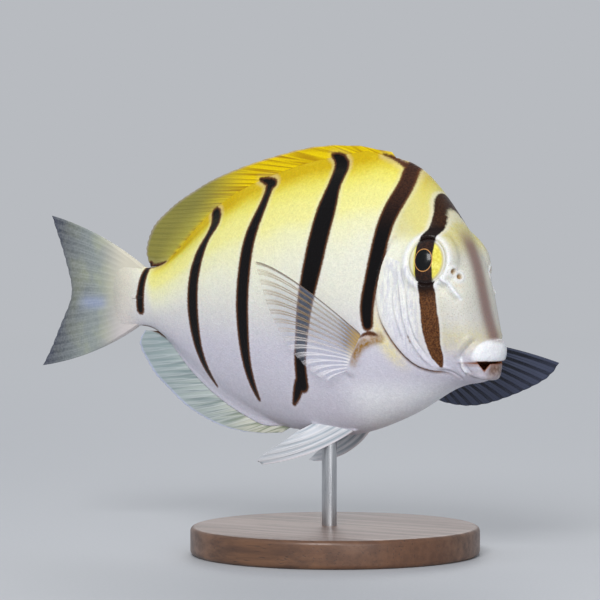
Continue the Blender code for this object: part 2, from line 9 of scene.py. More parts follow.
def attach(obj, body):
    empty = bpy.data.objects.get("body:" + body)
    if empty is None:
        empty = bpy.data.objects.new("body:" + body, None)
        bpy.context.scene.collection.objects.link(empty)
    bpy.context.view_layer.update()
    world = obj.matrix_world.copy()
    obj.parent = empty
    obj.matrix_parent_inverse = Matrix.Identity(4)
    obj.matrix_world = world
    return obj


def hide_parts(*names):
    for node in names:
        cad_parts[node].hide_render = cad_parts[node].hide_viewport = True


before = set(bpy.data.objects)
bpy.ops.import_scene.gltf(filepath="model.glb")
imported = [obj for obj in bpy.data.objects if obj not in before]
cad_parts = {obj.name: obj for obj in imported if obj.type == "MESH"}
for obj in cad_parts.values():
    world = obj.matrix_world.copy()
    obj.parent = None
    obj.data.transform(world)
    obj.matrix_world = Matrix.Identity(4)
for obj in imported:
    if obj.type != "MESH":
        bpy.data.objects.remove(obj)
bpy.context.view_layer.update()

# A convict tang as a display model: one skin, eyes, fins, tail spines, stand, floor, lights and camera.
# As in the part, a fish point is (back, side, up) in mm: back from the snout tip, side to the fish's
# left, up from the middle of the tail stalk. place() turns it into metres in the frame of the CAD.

FINE = 1
MM = 0.001

# The part's numbers, with a slightly finer mouth and nostril
HEAD_FRONT = 2.7
AXIS_HEIGHT, BASE_BACK = 54, 43
BEND_START, BEND_END, BEND_SIDE = 60, 122, 4
BACK_LINE = (
    (2.7, -10.6), (3, -8.4), (3.9, -5), (5.3, -0.6), (6.9, 6), (9, 12), (12.3, 17.4), (16.2, 23.1),
    (20.6, 27.9), (27, 30.4), (38, 29.7), (50, 27.6), (62, 24), (73, 18.8), (82, 11.9), (89, 7.5),
    (94.5, 6.6), (100, 7.4),
)
BELLY_LINE = (
    (2.7, -13.6), (3.2, -14.5), (4.4, -15.4), (6.2, -16), (9, -16.5), (13.5, -18), (20, -21.7), (28, -25.4),
    (37, -28.1), (46, -28.5), (56, -26.9), (66, -23.6), (76, -18.2), (84, -12), (90, -7.9), (95, -6.5),
    (100, -7.2),
)
HALF_WIDTH = (
    (2.7, 1.7), (3.1, 3.2), (3.9, 4.8), (5.4, 6.4), (8.5, 8.2), (13.5, 9.8), (20, 10.5), (30, 10.8),
    (42, 10.3), (56, 8.9), (70, 6.6), (82, 4.4), (91, 3.1), (96, 2.4), (100, 1.7),
)
WIDEST_UP = ((2.7, -12.2), (8.5, -4), (14, -1), (24, -3.5), (38, -5.5), (55, -2.5), (75, 0), (100, 0))
BACK_SHARPNESS = ((2.7, 0.9), (10, 0.8), (20, 1.2), (40, 1.35), (70, 1.35), (90, 1), (100, 1))
BELLY_SHARPNESS = ((2.7, 1), (20, 1), (38, 0.95), (55, 1.15), (75, 1.3), (90, 1), (100, 1))
# A lip as (middle, reach, side), then its height, depth and tallness, each in front and at the corner
UPPER_LIP = (5.4, 2.5, 5.1), (-9.4, -10.5), (1.4, 0.9), (2.4, 0.5)
LOWER_LIP = (6.3, 2.6, 3.7), (-13.7, -13.3), (1.2, 0.9), (1.8, 0.9)
MOUTH_PLACE, MOUTH_SIZE = (6.6, 0, -12.2), (3.2, 4.6, 0.72)
LIP_LINE_PLACE, LIP_LINE_SIZE = (3.6, 0, -11.8), (3, 4.9, 0.22)
EYE_BACK, EYE_SIDE, EYE_UP = 14.4, 8.3, 9
EYE_LONG, EYE_TALL, EYE_THICK = 4.1, 4.9, 2.1
PUPIL_BACK, PUPIL_LONG, PUPIL_TALL = 0.3, 1.8, 2.25
EYE_FORWARD, EYE_UPWARD = math.radians(14), math.radians(12)
NOSTRILS = ((8.2, 6), (8.9, 7.1))
# A fin along the middle: spines a step apart, then soft rays. Its lean says where on the margin a ray ends.
DORSAL = {"base": (26.8, 88.6), "spines": 9, "step": 2.7, "soft": 22, "margin": (
    (28.6, 31.9), (35, 33.1), (42.6, 33.5), (51.6, 32.7), (58.4, 31.2), (67.5, 28.8), (77.1, 25.3),
    (86.7, 20.2), (91.2, 16.8), (93.6, 13.6), (94.4, 10.2), (93.2, 6.7),
), "lean": (
    (0, 0), (0.05, 0.12), (0.12, 0.25), (0.3, 0.46), (0.5, 0.65), (0.8, 0.875), (0.9, 0.935), (1, 1),
)}
ANAL = {"base": (53.5, 89.6), "spines": 3, "step": 1.9, "soft": 19, "margin": (
    (57, -28.7), (61, -29), (65.3, -29), (72.1, -28), (79.1, -25.7), (87.6, -20.5), (91.6, -17.2),
    (94.9, -13.4), (96.4, -10.4), (94.8, -7.5),
), "lean": (
    (0, 0), (0.08, 0.16), (0.3, 0.42), (0.6, 0.7), (0.8, 0.85), (0.9, 0.93), (1, 1),
)}
FIN_SEED = 7
CAUDAL_RAYS = 17
CAUDAL_ROOT = ((95.4, 6.9), (99.6, 4.8), (101.4, 0), (99.8, -4.6), (96, -6.2))
CAUDAL_MARGIN = (
    (123.6, 17.9), (121.2, 12.3), (118.6, 6), (117.3, 1), (119.5, -4.4), (122.5, -9.8), (126.8, -16.4),
)
CAUDAL_BOW_UP, CAUDAL_BOW_DOWN = 2.9, 3.3
PECTORAL_RAYS, PECTORAL_TOP, PECTORAL_BOTTOM = 15, (28.2, -7.3), (32.4, -13.8)
RIGHT_PECTORAL = {"late": 0.35, "bow": (-1.5, -0.5, 2.9), "tips": (
    (51.4, -18, 8.8), (50.4, -17.2, 4.4), (48.9, -16, -1.6), (46.8, -14.9, -6.6), (43.8, -13.7, -11),
    (40.4, -12.7, -14.4), (36.8, -12, -16.2),
)}
LEFT_PECTORAL = {"late": 0, "bow": (0, 3.4, 2), "tips": (
    (5.2, 30, -13.3), (7.4, 30.2, -16), (10.8, 29.4, -18.2), (17.4, 26.4, -21.4), (23.3, 22.8, -22.8),
    (27.4, 19, -22), (30.4, 16, -20.4),
)}
PELVIC_RAYS = 5
PELVIC_ROOTS = ((35.8, 3.2, -27), (39.6, 4.2, -26.5), (45.4, 4.5, -25.8))
RIGHT_PELVIC = {"tips": ((56.6, 7.8, -35), (57.6, 8.2, -34.8), (53.4, 7.8, -31.2), (49, 6.2, -27.8)),
                "bow": (0, 0, -2.8)}
LEFT_PELVIC = {"tips": ((53, 6.6, -35), (54.8, 7.2, -34.9), (52.6, 8.6, -32.6), (48, 9, -29.4)),
               "bow": (-1.2, 0.6, -3.6)}
SPINE_BACK, SPINE_LONG, SPINE_TALL = 95.2, 4.4, 0.9
BASE_RADIUS, BASE_THICK = 31, 6
ROD_BACK, ROD_RADIUS, ROD_SOCKET = 44.5, 1.6, 6

# The skin's own shape
BODY_END, FLESH_END = 100, 106
HEAD_END = 26  # up to here the skin's steps are finer
GRID_FRONT, GRID_REAR, GRID_SIDE, GRID_LOW, GRID_HIGH = -0.6, FLESH_END + 1.5, 13.4, -31, 34
NEAR = 0.03  # how far to each side a slope of the skin is taken
SHEATH = 2.2  # how deep the flesh along a fin's root goes
HEAD_STEP, BODY_STEP, SIDE_STEP, UP_STEP = 0.2 * FINE, 0.3 * FINE, 0.25 * FINE, 0.25 * FINE
RIM = ((-0.4, 0.2), (0, 0.62), (0.4, 0.85), (0.9, 0.7), (1.5, 0.15), (2.4, -0.8))  # (off the eye, raised)
GILL_EDGE = (
    (22.4, 13.8), (24.2, 9.6), (25.1, 5.5), (25.4, 1.1), (24.6, -2.4), (22.4, -6.3), (19.6, -10),
    (16.8, -12.4), (13.6, -13.4), (10.9, -13.9), (8.9, -15.3),
)
# Folds and ridges as (points, raised mm, half width mm)
FOLDS = (
    (((20.8, 8.6), (19.9, 4.2), (19.2, -0.3), (17.8, -5.8), (16.1, -9.2), (13.6, -12.3), (12.2, -13.1)),
     0.4, 0.38),
    (((20.1, 8), (19.2, 3.8), (18.5, -0.4), (17.1, -5.8), (15.5, -9), (13.4, -11.6)), -0.36, 0.32),
    (((21.4, 3), (21, -0.5), (20.2, -3.6), (18.8, -7.4)), 0.22, 0.3),
    (((18, 4.2), (17.8, 0), (16.9, -4.4), (15.7, -8.6)), 0.2, 0.28),
    (((22.3, 7), (21.8, 2), (21, -3), (19.4, -7.4)), -0.12, 0.5),
    (((23.6, 6), (23.2, 1), (22.4, -3)), 0.1, 0.4),
    (((11.1, 6.4), (9.7, 4.6), (8.6, 3), (7.3, 1.3)), 0.7, 0.36),
    (((9.9, 6.1), (8.6, 4.2), (7.2, 2.2)), -0.2, 0.34),
    (((11.8, 5), (10.3, 3.2), (8.9, 1.7), (7.8, 0.4)), -0.36, 0.4),
    (((4.3, -6.5), (5.2, -8), (6.5, -9.5), (7.5, -11.3), (7.9, -12.6)), -0.55, 0.38),
    (((5, -5.8), (6.3, -7.4), (7.7, -9.1), (8.8, -11)), 0.3, 0.42),
    (((7.4, -10.9), (7.5, -12.4), (7, -14.1)), 0.5, 0.28),
    (((8.1, -11.6), (8.2, -12.9), (7.6, -14.6)), -0.4, 0.28),
    (((6.7, -11.9), (6.6, -12.9), (6.1, -14.2)), -0.3, 0.24),
    (((13.1, -13.3), (10.9, -13.5), (9.7, -14.2), (8.7, -15.6)), -0.42, 0.26),
    (((13.3, -12.3), (11.2, -12.6), (9.9, -13.2)), 0.16, 0.4),
    (((24, 13), (32, 18.6), (44, 20), (58, 16.5), (72, 10), (84, 4), (94, 0.8)),
     0.05, 0.35),
)
EYE_RIDGE, LIP_FOLD = FOLDS[6][0], FOLDS[11][0]

# Dark bars as (back, up, half width), from above down. The last two are not bars but painted shadow lines in
# the notches where the rear ends of the dorsal and anal fins meet the body.
BARS = (
    ((22.9, 30.6, 1.1), (22.6, 28, 1.5), (22.3, 25.9, 1.75), (23.5, 21.5, 2), (25, 17.2, 1.95),
     (25.8, 12.8, 1.9), (26.5, 8.4, 1.8), (27.3, 4.1, 1.6), (27.9, -1, 1.6), (27.7, -4.1, 1.3)),
    ((29.4, -6.9, 0.05), (28.2, -6.2, 0.26), (26.8, -6, 0.34), (25.4, -6.35, 0.05)),
    ((23.2, 28.6, 0.5), (25.6, 29.7, 0.28), (28.2, 30.7, 0.18), (30.6, 31.4, 0.05)),
    ((43.4, 31.2, 0.5), (41.6, 30.4, 1.4), (40.4, 28.4, 1.9), (40.5, 25.4, 1.7), (40.8, 21.9, 2.15),
     (41.7, 14.7, 2.5), (42.7, 7.4, 2.4), (44, 0, 1.95), (45, -8, 1.55), (45.6, -12.5, 1.5),
     (45.7, -15.6, 1.55), (45.8, -17.5, 1.65)),
    ((46.6, -17.4, 1.3), (47.9, -19.8, 1), (49.2, -21.7, 0.45)),
    ((62.4, 26.1, 0.3), (60.4, 25.7, 0.85), (58.6, 25.2, 1.1)),
    ((59.4, 25.4, 1.1), (59.1, 22.6, 1), (59.9, 18, 1.25), (60.9, 14, 1.5), (61.5, 7.1, 1.65),
     (61.7, 0.4, 1.7), (61.6, -7.1, 1.55), (61.3, -14, 1.15), (60.7, -18, 0.85), (59.9, -21.2, 0.4)),
    ((74, 18.6, 1.35), (73.3, 17.2, 1.5), (73.9, 14.6, 0.9), (75.5, 11.1, 1.1), (76.9, 5.4, 1.45),
     (77.2, 0, 1.55), (76.9, -6.1, 1.4), (76.1, -12, 1), (74.8, -16, 0.65), (73.3, -19, 0.2)),
    ((93, 7.4, 0.5), (93.4, 5.8, 0.8), (93.9, 2.8, 1), (94.2, -0.4, 1.15), (94.3, -2.7, 1.1)),
    # painted shadow lines in the notches behind the dorsal fin and the anal fin
    ((93.7, 6.9, 0.3), (91.6, 7, 0.3), (88.6, 7.9, 0.08)),
    ((94.8, -6.7, 0.3), (91.8, -7.2, 0.4), (88.6, -8.8, 0.08)),
)
EYE_BAR = (
    (15.9, 23, 0.35), (15.4, 21.8, 0.65), (14.8, 20.3, 0.66), (14.35, 18.7, 0.8), (13.9, 17, 1.15),
    (13.9, 15.5, 1.3), (14.6, 13.8, 1.5), (14.2, 9, 1.9), (13.8, 4.3, 1.7), (13.6, 1.6, 1.75),
    (13.3, -1, 1.75), (13, -3.6, 1.9), (12.8, -6.4, 1.7), (12.5, -9.1, 1.4), (12.1, -11, 1.05),
    (11.9, -12.2, 0.4),
)
PECTORAL_FOOT = ((25, -6.9), (26.7, -7.3), (28.4, -8.1), (29.6, -9.2), (30.7, -10.8), (31.4, -12.6))
GILL_DOTS = ((17.9, -6.5), (17.6, -7.3))


def spline(points):
    """A smooth function of the first number of each point: the natural cubic through them."""
    x, y = (np.array(values, float) for values in zip(*points))
    step = np.diff(x)
    size = len(x)
    matrix, wanted = np.eye(size), np.zeros(size)
    for i in range(1, size - 1):
        matrix[i, i - 1 : i + 2] = step[i - 1], 2 * (step[i - 1] + step[i]), step[i]
        wanted[i] = 6 * ((y[i + 1] - y[i]) / step[i] - (y[i] - y[i - 1]) / step[i - 1])
    curve = np.linalg.solve(matrix, wanted)

    def value(at):
        i = np.clip(np.searchsorted(x, at) - 1, 0, size - 2)
        a, b = (x[i + 1] - at) / step[i], (at - x[i]) / step[i]
        bow = ((a**3 - a) * curve[i] + (b**3 - b) * curve[i + 1]) * step[i] ** 2 / 6
        return a * y[i] + b * y[i + 1] + bow

    return value


def lengths_to(points):
    """The length along a line up to each of its points."""
    return np.concatenate([[0], np.cumsum(np.linalg.norm(np.diff(points, axis=0), axis=1))])


def path(points):
    """A smooth function from 0 to 1 along points of any dimension, by length."""
    points = np.array(points, float)
    along = lengths_to(points)
    parts = [spline(list(zip(along / along[-1], column))) for column in points.T]
    return lambda t: np.stack([part(np.asarray(t, float)) for part in parts], axis=-1)


back_line, belly_line = spline(BACK_LINE), spline(BELLY_LINE)
half_width, widest_up = spline(HALF_WIDTH), spline(WIDEST_UP)
back_sharpness, belly_sharpness = spline(BACK_SHARPNESS), spline(BELLY_SHARPNESS)


def smooth(low, high, value):
    """0 below low and 1 above high, with a soft step between them."""
    t = np.clip((value - low) / (high - low), 0, 1)
    return t * t * (3 - 2 * t)


def between(start, full, fading, end, value):
    """0 up to start and past end, and 1 from full to fading."""
    return smooth(start, full, value) * (1 - smooth(fading, end, value))


def bell(value, wide, power=2):
    """1 where the value is 0, and little beyond a width from there."""
    return np.exp(-((value / wide) ** power))


def place(points):
    """Metres in the CAD's frame from fish points in an array whose last axis is (back, side, up)."""
    back, side, up = np.moveaxis(np.asarray(points, float), -1, 0)
    swing = BEND_SIDE * np.maximum(0, (back - BEND_START) / (BEND_END - BEND_START)) ** 2
    return np.stack([BASE_BACK - back, side + swing, AXIS_HEIGHT + up], axis=-1) * MM


def section(back, up):
    """The body's half width, where this height lies between its widest height and its top or bottom line,
    and how sharp it is towards that line."""
    on, past = np.clip(back, HEAD_FRONT, BODY_END), np.maximum(0, back - BODY_END)
    middle = widest_up(on)
    above = up > middle
    top = back_line(on) + 0.3 * past - 0.035 * past**2
    low = belly_line(on) - 0.26 * past + 0.035 * past**2
    rise = (up - middle) / np.where(above, top - middle, middle - low)
    sharp = np.where(above, back_sharpness(on), belly_sharpness(on))
    return half_width(on) * np.maximum(0.02, 1 - past / 6.8), rise, sharp


def skin_side(back, up):
    """Half width of the body at this height."""
    wide, rise, sharp = section(back, up)
    return wide * np.sqrt(1 - np.minimum(1, rise**2)) ** sharp


# Distances, in mm and below zero inside. They take arrays that fit together, whole or on a grid's axes.


def join(a, b, blend):
    """Two forms as one, with a fillet about blend mm wide."""
    t = np.clip(0.5 + 0.5 * (b - a) / blend, 0, 1)
    return b + (a - b) * t - blend * t * (1 - t)


def cut(a, b, blend):
    """The first form without the second, with its edge rounded."""
    return -join(-a, b, blend)


def body_value(back, side, up):
    """An uneven measure that is zero on the body's surface."""
    wide, rise, sharp = section(back, up)
    return np.exp(np.log(np.abs(side) / wide + 1e-6) * (2 / sharp)) + rise**2 - 1


def slopes(form, back, side, up, step):
    """How fast a form's value changes along back, side and up."""
    ways = []
    for b, s, u in np.eye(3) * step:
        ahead, behind = form(back + b, side + s, up + u), form(back - b, side - s, up - u)
        ways.append((ahead - behind) / (2 * step))
    return ways


def body_distance(back, side, up):
    slope = sum(way**2 for way in slopes(body_value, back, side, up, 0.04)) + 1e-6
    distance = np.clip(body_value(back, side, up) / np.sqrt(slope), -4, 6)
    return cut(cut(distance, back - HEAD_FRONT, 0.8), FLESH_END - back, 0.3)


def lip_distance(lip, back, side, up):
    """A roll of flesh round the mouth, thickest in front."""
    middle, reach, broad = lip[0]
    ahead, out = (middle - back) / reach, np.abs(side) / broad
    angle = np.arctan2(out, ahead)
    front = np.cos(np.clip(angle / math.radians(100), 0, 1) * math.pi / 2) ** 0.8
    rise, deep, tall = (corner + (first - corner) * front for first, corner in lip[1:])
    length = np.hypot(reach * np.cos(angle), broad * np.sin(angle))
    deep = deep * (1 - 0.2 * np.abs(np.sin(angle)))
    power = 2.4  # 2 would be an ellipse
    value = np.abs((np.hypot(ahead, out) - 1) * length / deep) ** power + np.abs((up - rise) / tall) ** power
    return (value ** (1 / power) - 1) * np.minimum(deep, tall)


def ball(centre, size, back, side, up):
    value = sum(((at - middle) / part) ** 2 for at, middle, part in zip((back, side, up), centre, size))
    return (np.sqrt(value) - 1) * min(size)


def capsule(start, end, radius, back, side, up):
    """A rounded bar between two fish points, with a radius at each end."""
    start, way = np.array(start, float), np.array(end, float) - np.array(start, float)
    offset = [value - at for value, at in zip((back, side, up), start)]
    t = np.clip(sum(value * part for value, part in zip(offset, way)) / (way @ way), 0, 1)
    gap = np.sqrt(sum((value - t * part) ** 2 for value, part in zip(offset, way)))
    return gap - (radius[0] + (radius[1] - radius[0]) * t)


EYE_TURN = np.array(Matrix.Rotation(-EYE_FORWARD, 3, "Z") @ Matrix.Rotation(EYE_UPWARD, 3, "X"))


def in_eye(back, side, up):
    """The left eye's own axes: forward, outward and up, from its centre."""
    offset = (EYE_BACK - back, side - EYE_SIDE, up - EYE_UP)
    return [sum(EYE_TURN[i, axis] * offset[i] for i in range(3)) for axis in range(3)]


def beyond_eye(ahead, rise):
    """How far a place in the eye's plane lies outside the eye's edge."""
    turn = np.arctan2(rise / EYE_TALL, ahead / EYE_LONG)
    length = np.hypot(EYE_LONG * np.cos(turn), EYE_TALL * np.sin(turn))
    return (np.hypot(ahead / EYE_LONG, rise / EYE_TALL) - 1) * length


def mouth_distance(back, side, up):
    """The hollow behind the lips, the line between them and the gap at each corner."""
    hollow = ball(MOUTH_PLACE, MOUTH_SIZE, back, side, up)
    line = ball(LIP_LINE_PLACE, LIP_LINE_SIZE, back, side, up)
    across = 0.82 * back + 0.57 * side - 4.95
    gap = np.maximum(1.1 * (np.abs(across) / 1.75 + (-11.4 - up) / 2.05 - 1), up + 11.53)
    return np.minimum(np.minimum(hollow, line), np.maximum(gap, 3 - back))


def skin_distance(back, side, up):
    """The whole skin's left half, before its folds."""
    distance = body_distance(back, side, up)
    for base, line, sign in ((DORSAL["base"], back_line, 1), (ANAL["base"], belly_line, -1)):
        on = np.clip(back, HEAD_FRONT, BODY_END)
        tall = 2 * between(base[0] + 1, base[0] + 9, base[1] - 9, base[1] + 1, on)
        rise = sign * (up - line(on)) + SHEATH - tall
        thick = np.interp(rise, (-3, 0, 1, SHEATH), (1.6, 0.95, 0.55, 0.2))
        ends = np.maximum(base[0] - back, back - base[1])
        sheath = np.maximum(np.maximum(side - thick, ends), np.maximum(rise - SHEATH, -4 - rise))
        distance = join(distance, sheath, 0.7)
    root = [(b, float(skin_side(b, u)) - 0.55, u) for b, u in (PECTORAL_TOP, PECTORAL_BOTTOM)]
    distance = join(distance, capsule(*root, (1.15, 0.85), back, side, up), 1.3)
    distance = join(distance, capsule(PELVIC_ROOTS[0], PELVIC_ROOTS[2], (0.3, 0.25), back, side, up), 0.7)
    ahead, out, rise = in_eye(back, side, up)
    beyond = beyond_eye(ahead, rise)
    raised = np.interp(beyond, *zip(*RIM)) - 0.35 * smooth(2.5, 6, rise) * smooth(0, 2.5, ahead)
    front = smooth(0.2, 1, ahead / EYE_LONG) * (1 - smooth(0.5, 4, rise))
    raised = raised + 0.45 * front * between(-0.3, 0.8, 1.2, 2.4, beyond)
    fold = cut(out - raised, 2.2 - beyond, 0.5)
    distance = join(distance, np.maximum(fold, -3 - out), 0.7)
    hole = ball((0, 0, 0), (EYE_LONG, EYE_THICK, EYE_TALL), ahead, out, rise)
    distance = cut(distance, hole + 0.05, 0.14)
    distance = join(distance, lip_distance(UPPER_LIP, back, side, up), 0.45)
    distance = join(distance, lip_distance(LOWER_LIP, back, side, up), 0.4)
    return cut(distance, mouth_distance(back, side, up), 0.16)


# Places on the flank, seen from the side


def nearest(line, back, up):
    """For each place: how far it is from a line of (back, up) points, and where along it, from 0 to 1."""
    line = np.asarray(line, float)[:, :2]
    before = lengths_to(line)
    best, where = np.full(np.shape(back), 1e9), np.zeros(np.shape(back))
    for i, length in enumerate(np.diff(before)):
        way = (line[i + 1] - line[i]) / length
        t = np.clip((back - line[i, 0]) * way[0] + (up - line[i, 1]) * way[1], 0, length)
        gap = np.hypot(back - line[i, 0] - t * way[0], up - line[i, 1] - t * way[1])
        near = gap < best
        best, where = np.where(near, gap, best), np.where(near, before[i] + t, where)
    return best, where / before[-1]


def smoothed(points, count=40):
    return path(points)(np.linspace(0, 1, count))


def bar_distance(bar, back, up):
    """Below zero inside a bar whose half width changes along it."""
    line = smoothed(bar)
    gap, where = nearest(line, back, up)
    steps = lengths_to(line[:, :2])
    return gap - np.interp(where, steps / steps[-1], line[:, 2])


def bar_edge(back, up, bars=BARS):
    """How far each place is from the nearest bar's edge, below zero inside a bar."""
    return np.min([bar_distance(bar, back, up) for bar in bars], axis=0)


def inside(outline, back, up):
    outline = np.asarray(outline, float)
    found = np.zeros(np.shape(back), bool)
    for (b0, u0), (b1, u1) in zip(outline, np.roll(outline, -1, axis=0)):
        crosses = (u0 > up) != (u1 > up)
        with np.errstate(divide="ignore", invalid="ignore"):
            found ^= crosses & (back < (b1 - b0) * (up - u0) / (u1 - u0) + b0)
    return found


# Meshes


def surface(values, axes):
    """A mesh of quads where the values on a grid cross zero, and its points between the grid's lines."""
    within, units = values < 0, np.eye(3, dtype=int)
    shape = [size - 1 for size in values.shape]
    corners = list(np.ndindex(2, 2, 2))
    count = np.zeros(shape, np.int8)
    for i, j, k in corners:
        count += within[i : i + shape[0], j : j + shape[1], k : k + shape[2]]
    cells = np.argwhere((count > 0) & (count < 8))
    number = np.full(shape, -1, np.int64)
    number[tuple(cells.T)] = np.arange(len(cells))
    at = {corner: values[tuple((cells + corner).T)] for corner in corners}
    total, hits = np.zeros((len(cells), 3)), np.zeros((len(cells), 1))
    for one in corners:
        for unit in units[np.array(one) == 0]:
            a, b = at[one], at[tuple(one + unit)]
            crosses = ((a < 0) != (b < 0))[:, None]
            with np.errstate(divide="ignore", invalid="ignore"):
                t = (a / (a - b))[:, None]
            total += np.where(crosses, one + np.where(crosses, t, 0) * unit, 0)
            hits += crosses
    spots = cells + total / hits
    points = [np.interp(spot, np.arange(len(axis)), axis) for spot, axis in zip(spots.T, axes)]
    quads = []
    for axis in range(3):
        one, two = units[(axis + 1) % 3], units[(axis + 2) % 3]
        low, high = [slice(1, -1)] * 3, [slice(1, -1)] * 3
        low[axis], high[axis] = slice(0, -1), slice(1, None)
        edges = np.argwhere(within[tuple(low)] != within[tuple(high)]) + 1 - units[axis]
        around = (one + two, two, 0 * one, one)
        ring = np.stack([number[tuple((edges - offset).T)] for offset in around], axis=1)
        quads.append(np.where(within[tuple(edges.T)][:, None], ring, ring[:, ::-1]))
    return np.stack(points, axis=1), np.concatenate(quads)


def full_turn(count):
    return np.linspace(0, 2 * np.pi, count, endpoint=False)


def grid_quads(count, size, around=False, turn=False):
    """The quads of a grid of count lines of size points each."""
    i, j = np.meshgrid(np.arange(count if around else count - 1), np.arange(size - 1), indexing="ij")
    i, j = i.ravel(), j.ravel()
    after = (i + 1) % count
    quads = np.stack([i * size + j, after * size + j, after * size + j + 1, i * size + j + 1], axis=1)
    return quads[:, ::-1] if turn else quads


def add_object(name, data, spot=None, way=None):
    """A new object in the scene. A lamp or camera looks along a way from its spot."""
    made = bpy.data.objects.new(name, data)
    bpy.context.scene.collection.objects.link(made)
    if way:
        made.matrix_world = Matrix.Translation(spot) @ way.to_track_quat("-Z", "Y").to_matrix().to_4x4()
    return made


def new_piece(name, points, quads, masks, material, nodes):
    """A smooth mesh from metres, with a number for each point under each mask's name."""
    mesh = bpy.data.meshes.new(name)
    mesh.vertices.add(len(points))
    mesh.vertices.foreach_set("co", np.asarray(points, np.float32).ravel())
    mesh.loops.add(quads.size)
    mesh.loops.foreach_set("vertex_index", np.asarray(quads, np.int32).ravel())
    mesh.polygons.add(len(quads))
    mesh.polygons.foreach_set("loop_start", np.arange(0, quads.size, quads.shape[1], dtype=np.int32))
    mesh.update(calc_edges=True)
    mesh.validate()
    mesh.shade_smooth()
    for key, values in masks.items():
        numbers = mesh.attributes.new(key, "FLOAT", "POINT").data
        numbers.foreach_set("value", np.asarray(values, np.float32).ravel())
    mesh.materials.append(material)
    piece = add_object(name, mesh)
    if nodes:
        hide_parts(*nodes)
        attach(piece, "root")
    return piece


def close_poles(piece):
    """Joins the points of each pole, which are all at one place."""
    form = bmesh.new()
    form.from_mesh(piece.data)
    bmesh.ops.remove_doubles(form, verts=form.verts, dist=0.001 * MM)
    form.to_mesh(piece.data)
    form.free()


# Materials


def rgb(*colour):
    """A colour as a picture shows it, 0 to 255, as light."""
    return (*((v / 3294.6 if v <= 10 else ((v / 255 + 0.055) / 1.055) ** 2.4) for v in colour), 1)


class Finish:
    """A material built a line at a time. A value is a number, a socket, the name of a mask that the mesh
    keeps, or an (r, g, b) as a picture shows it, from 0 to 255."""

    def __init__(self, name, **even):
        self.material = bpy.data.materials.new(name)
        self.material.use_nodes = True
        self.tree = self.material.node_tree
        self.shader = self.tree.nodes["Principled BSDF"]
        for key, value in even.items():
            self.shader.inputs[key.replace("_", " ").title().replace("Ior", "IOR")].default_value = value

    def put(self, socket, value):
        if isinstance(value, str):
            value = self.node("Attribute", attribute_name=value)["Fac"]
        if isinstance(value, bpy.types.NodeSocket):
            self.tree.links.new(value, socket)
        else:
            socket.default_value = rgb(*value) if isinstance(value, tuple) else value

    def node(self, kind, values=(), **settings):
        """The outputs of a new node, whose inputs get the values by name or in their order."""
        made = self.tree.nodes.new("ShaderNode" + kind)
        for key, value in settings.items():
            setattr(made, key, value)
        for key, value in values.items() if isinstance(values, dict) else enumerate(values):
            self.put(made.inputs[key], value)
        return made.outputs

    def math(self, operation, a, b=0):
        return self.node("Math", (a, b), operation=operation)[0]

    def plus(self, first, *others):
        for other in others:
            first = self.math("ADD", first, other)
        return first

    def times(self, first, *others):
        for other in others:
            first = self.math("MULTIPLY", first, other)
        return first

    def swing(self, value, amount):
        """A value from 0 to 1 as one that goes from -amount / 2 to amount / 2."""
        return self.times(self.math("SUBTRACT", value, 0.5), amount)

    def step(self, value, low, high, start=0, end=1):
        """A soft step from start to end as the value goes from low to high."""
        return self.node("MapRange", (value, low, high, start, end), interpolation_type="SMOOTHSTEP")[0]

    def mix(self, amount, a, b, way="MIX"):
        return self.node("Mix", {0: amount, 6: a, 7: b}, data_type="RGBA", blend_type=way)[2]

    def layers(self, colour, *layers):
        """A colour with others over it, each as (amount, colour) or (amount, colour, strength)."""
        for amount, over, *strength in layers:
            colour = self.mix(self.times(amount, *strength), colour, over)
        return colour

    def ramp(self, value, *stops):
        """Colours along a value. One of four numbers is light already."""
        made = self.node("ValToRGB", [value])[0]
        elements = made.node.color_ramp.elements
        while len(elements) < len(stops):
            elements.new(0.5)
        for element, (at, colour) in zip(elements, stops):
            element.position, element.color = at, colour if len(colour) == 4 else rgb(*colour)
        return made

    def spots(self, stretch):
        """The place on the object, in mm, stretched along the axes."""
        scale = [1 / MM / part for part in stretch]
        return self.node("Mapping", {"Vector": self.node("TexCoord")["Object"], "Scale": scale})[0]

    def noise(self, size, detail=2, rough=0.5, stretch=(1, 1, 1)):
        """Noise whose lumps are about size mm wide."""
        values = {"Vector": self.spots(stretch), "Scale": 0.6 / size, "Detail": detail, "Roughness": rough}
        return self.node("TexNoise", values)["Fac"]

    def cells(self, size, stretch=(1, 1, 1)):
        """The distance from the middle of cells about size mm wide."""
        return self.node("TexVoronoi", {"Vector": self.spots(stretch), "Scale": 1 / size})["Distance"]

    def done(self, colour, roughness, height, deep, alpha=1):
        """Links what was made. The bump is deep mm from the height's 0 to its 1."""
        bump = self.node("Bump", {"Strength": 1, "Distance": deep * MM, "Height": height})[0]
        values = {"Base Color": colour, "Roughness": roughness, "Normal": bump, "Alpha": alpha}
        for key, value in values.items():
            self.put(self.shader.inputs[key], value)
        return self.material


def add_bars(f, colour, grain, pale=0.2, black=(4, 1, 2)):
    """The dark bars over a colour, with brown edges and a pale line beside them. The dark mask also holds the
    painted shadow lines in the fin notches.
    """
    edge = f.plus("dark", f.swing(grain, 0.6))
    return f.layers(colour, (f.step(edge, 0.3, 1.5, pale, 0), (226, 222, 228)),
                    (f.step(edge, -0.1, 0.45, 1, 0), (92, 54, 28)), (f.step(edge, -0.6, 0, 1, 0), black))


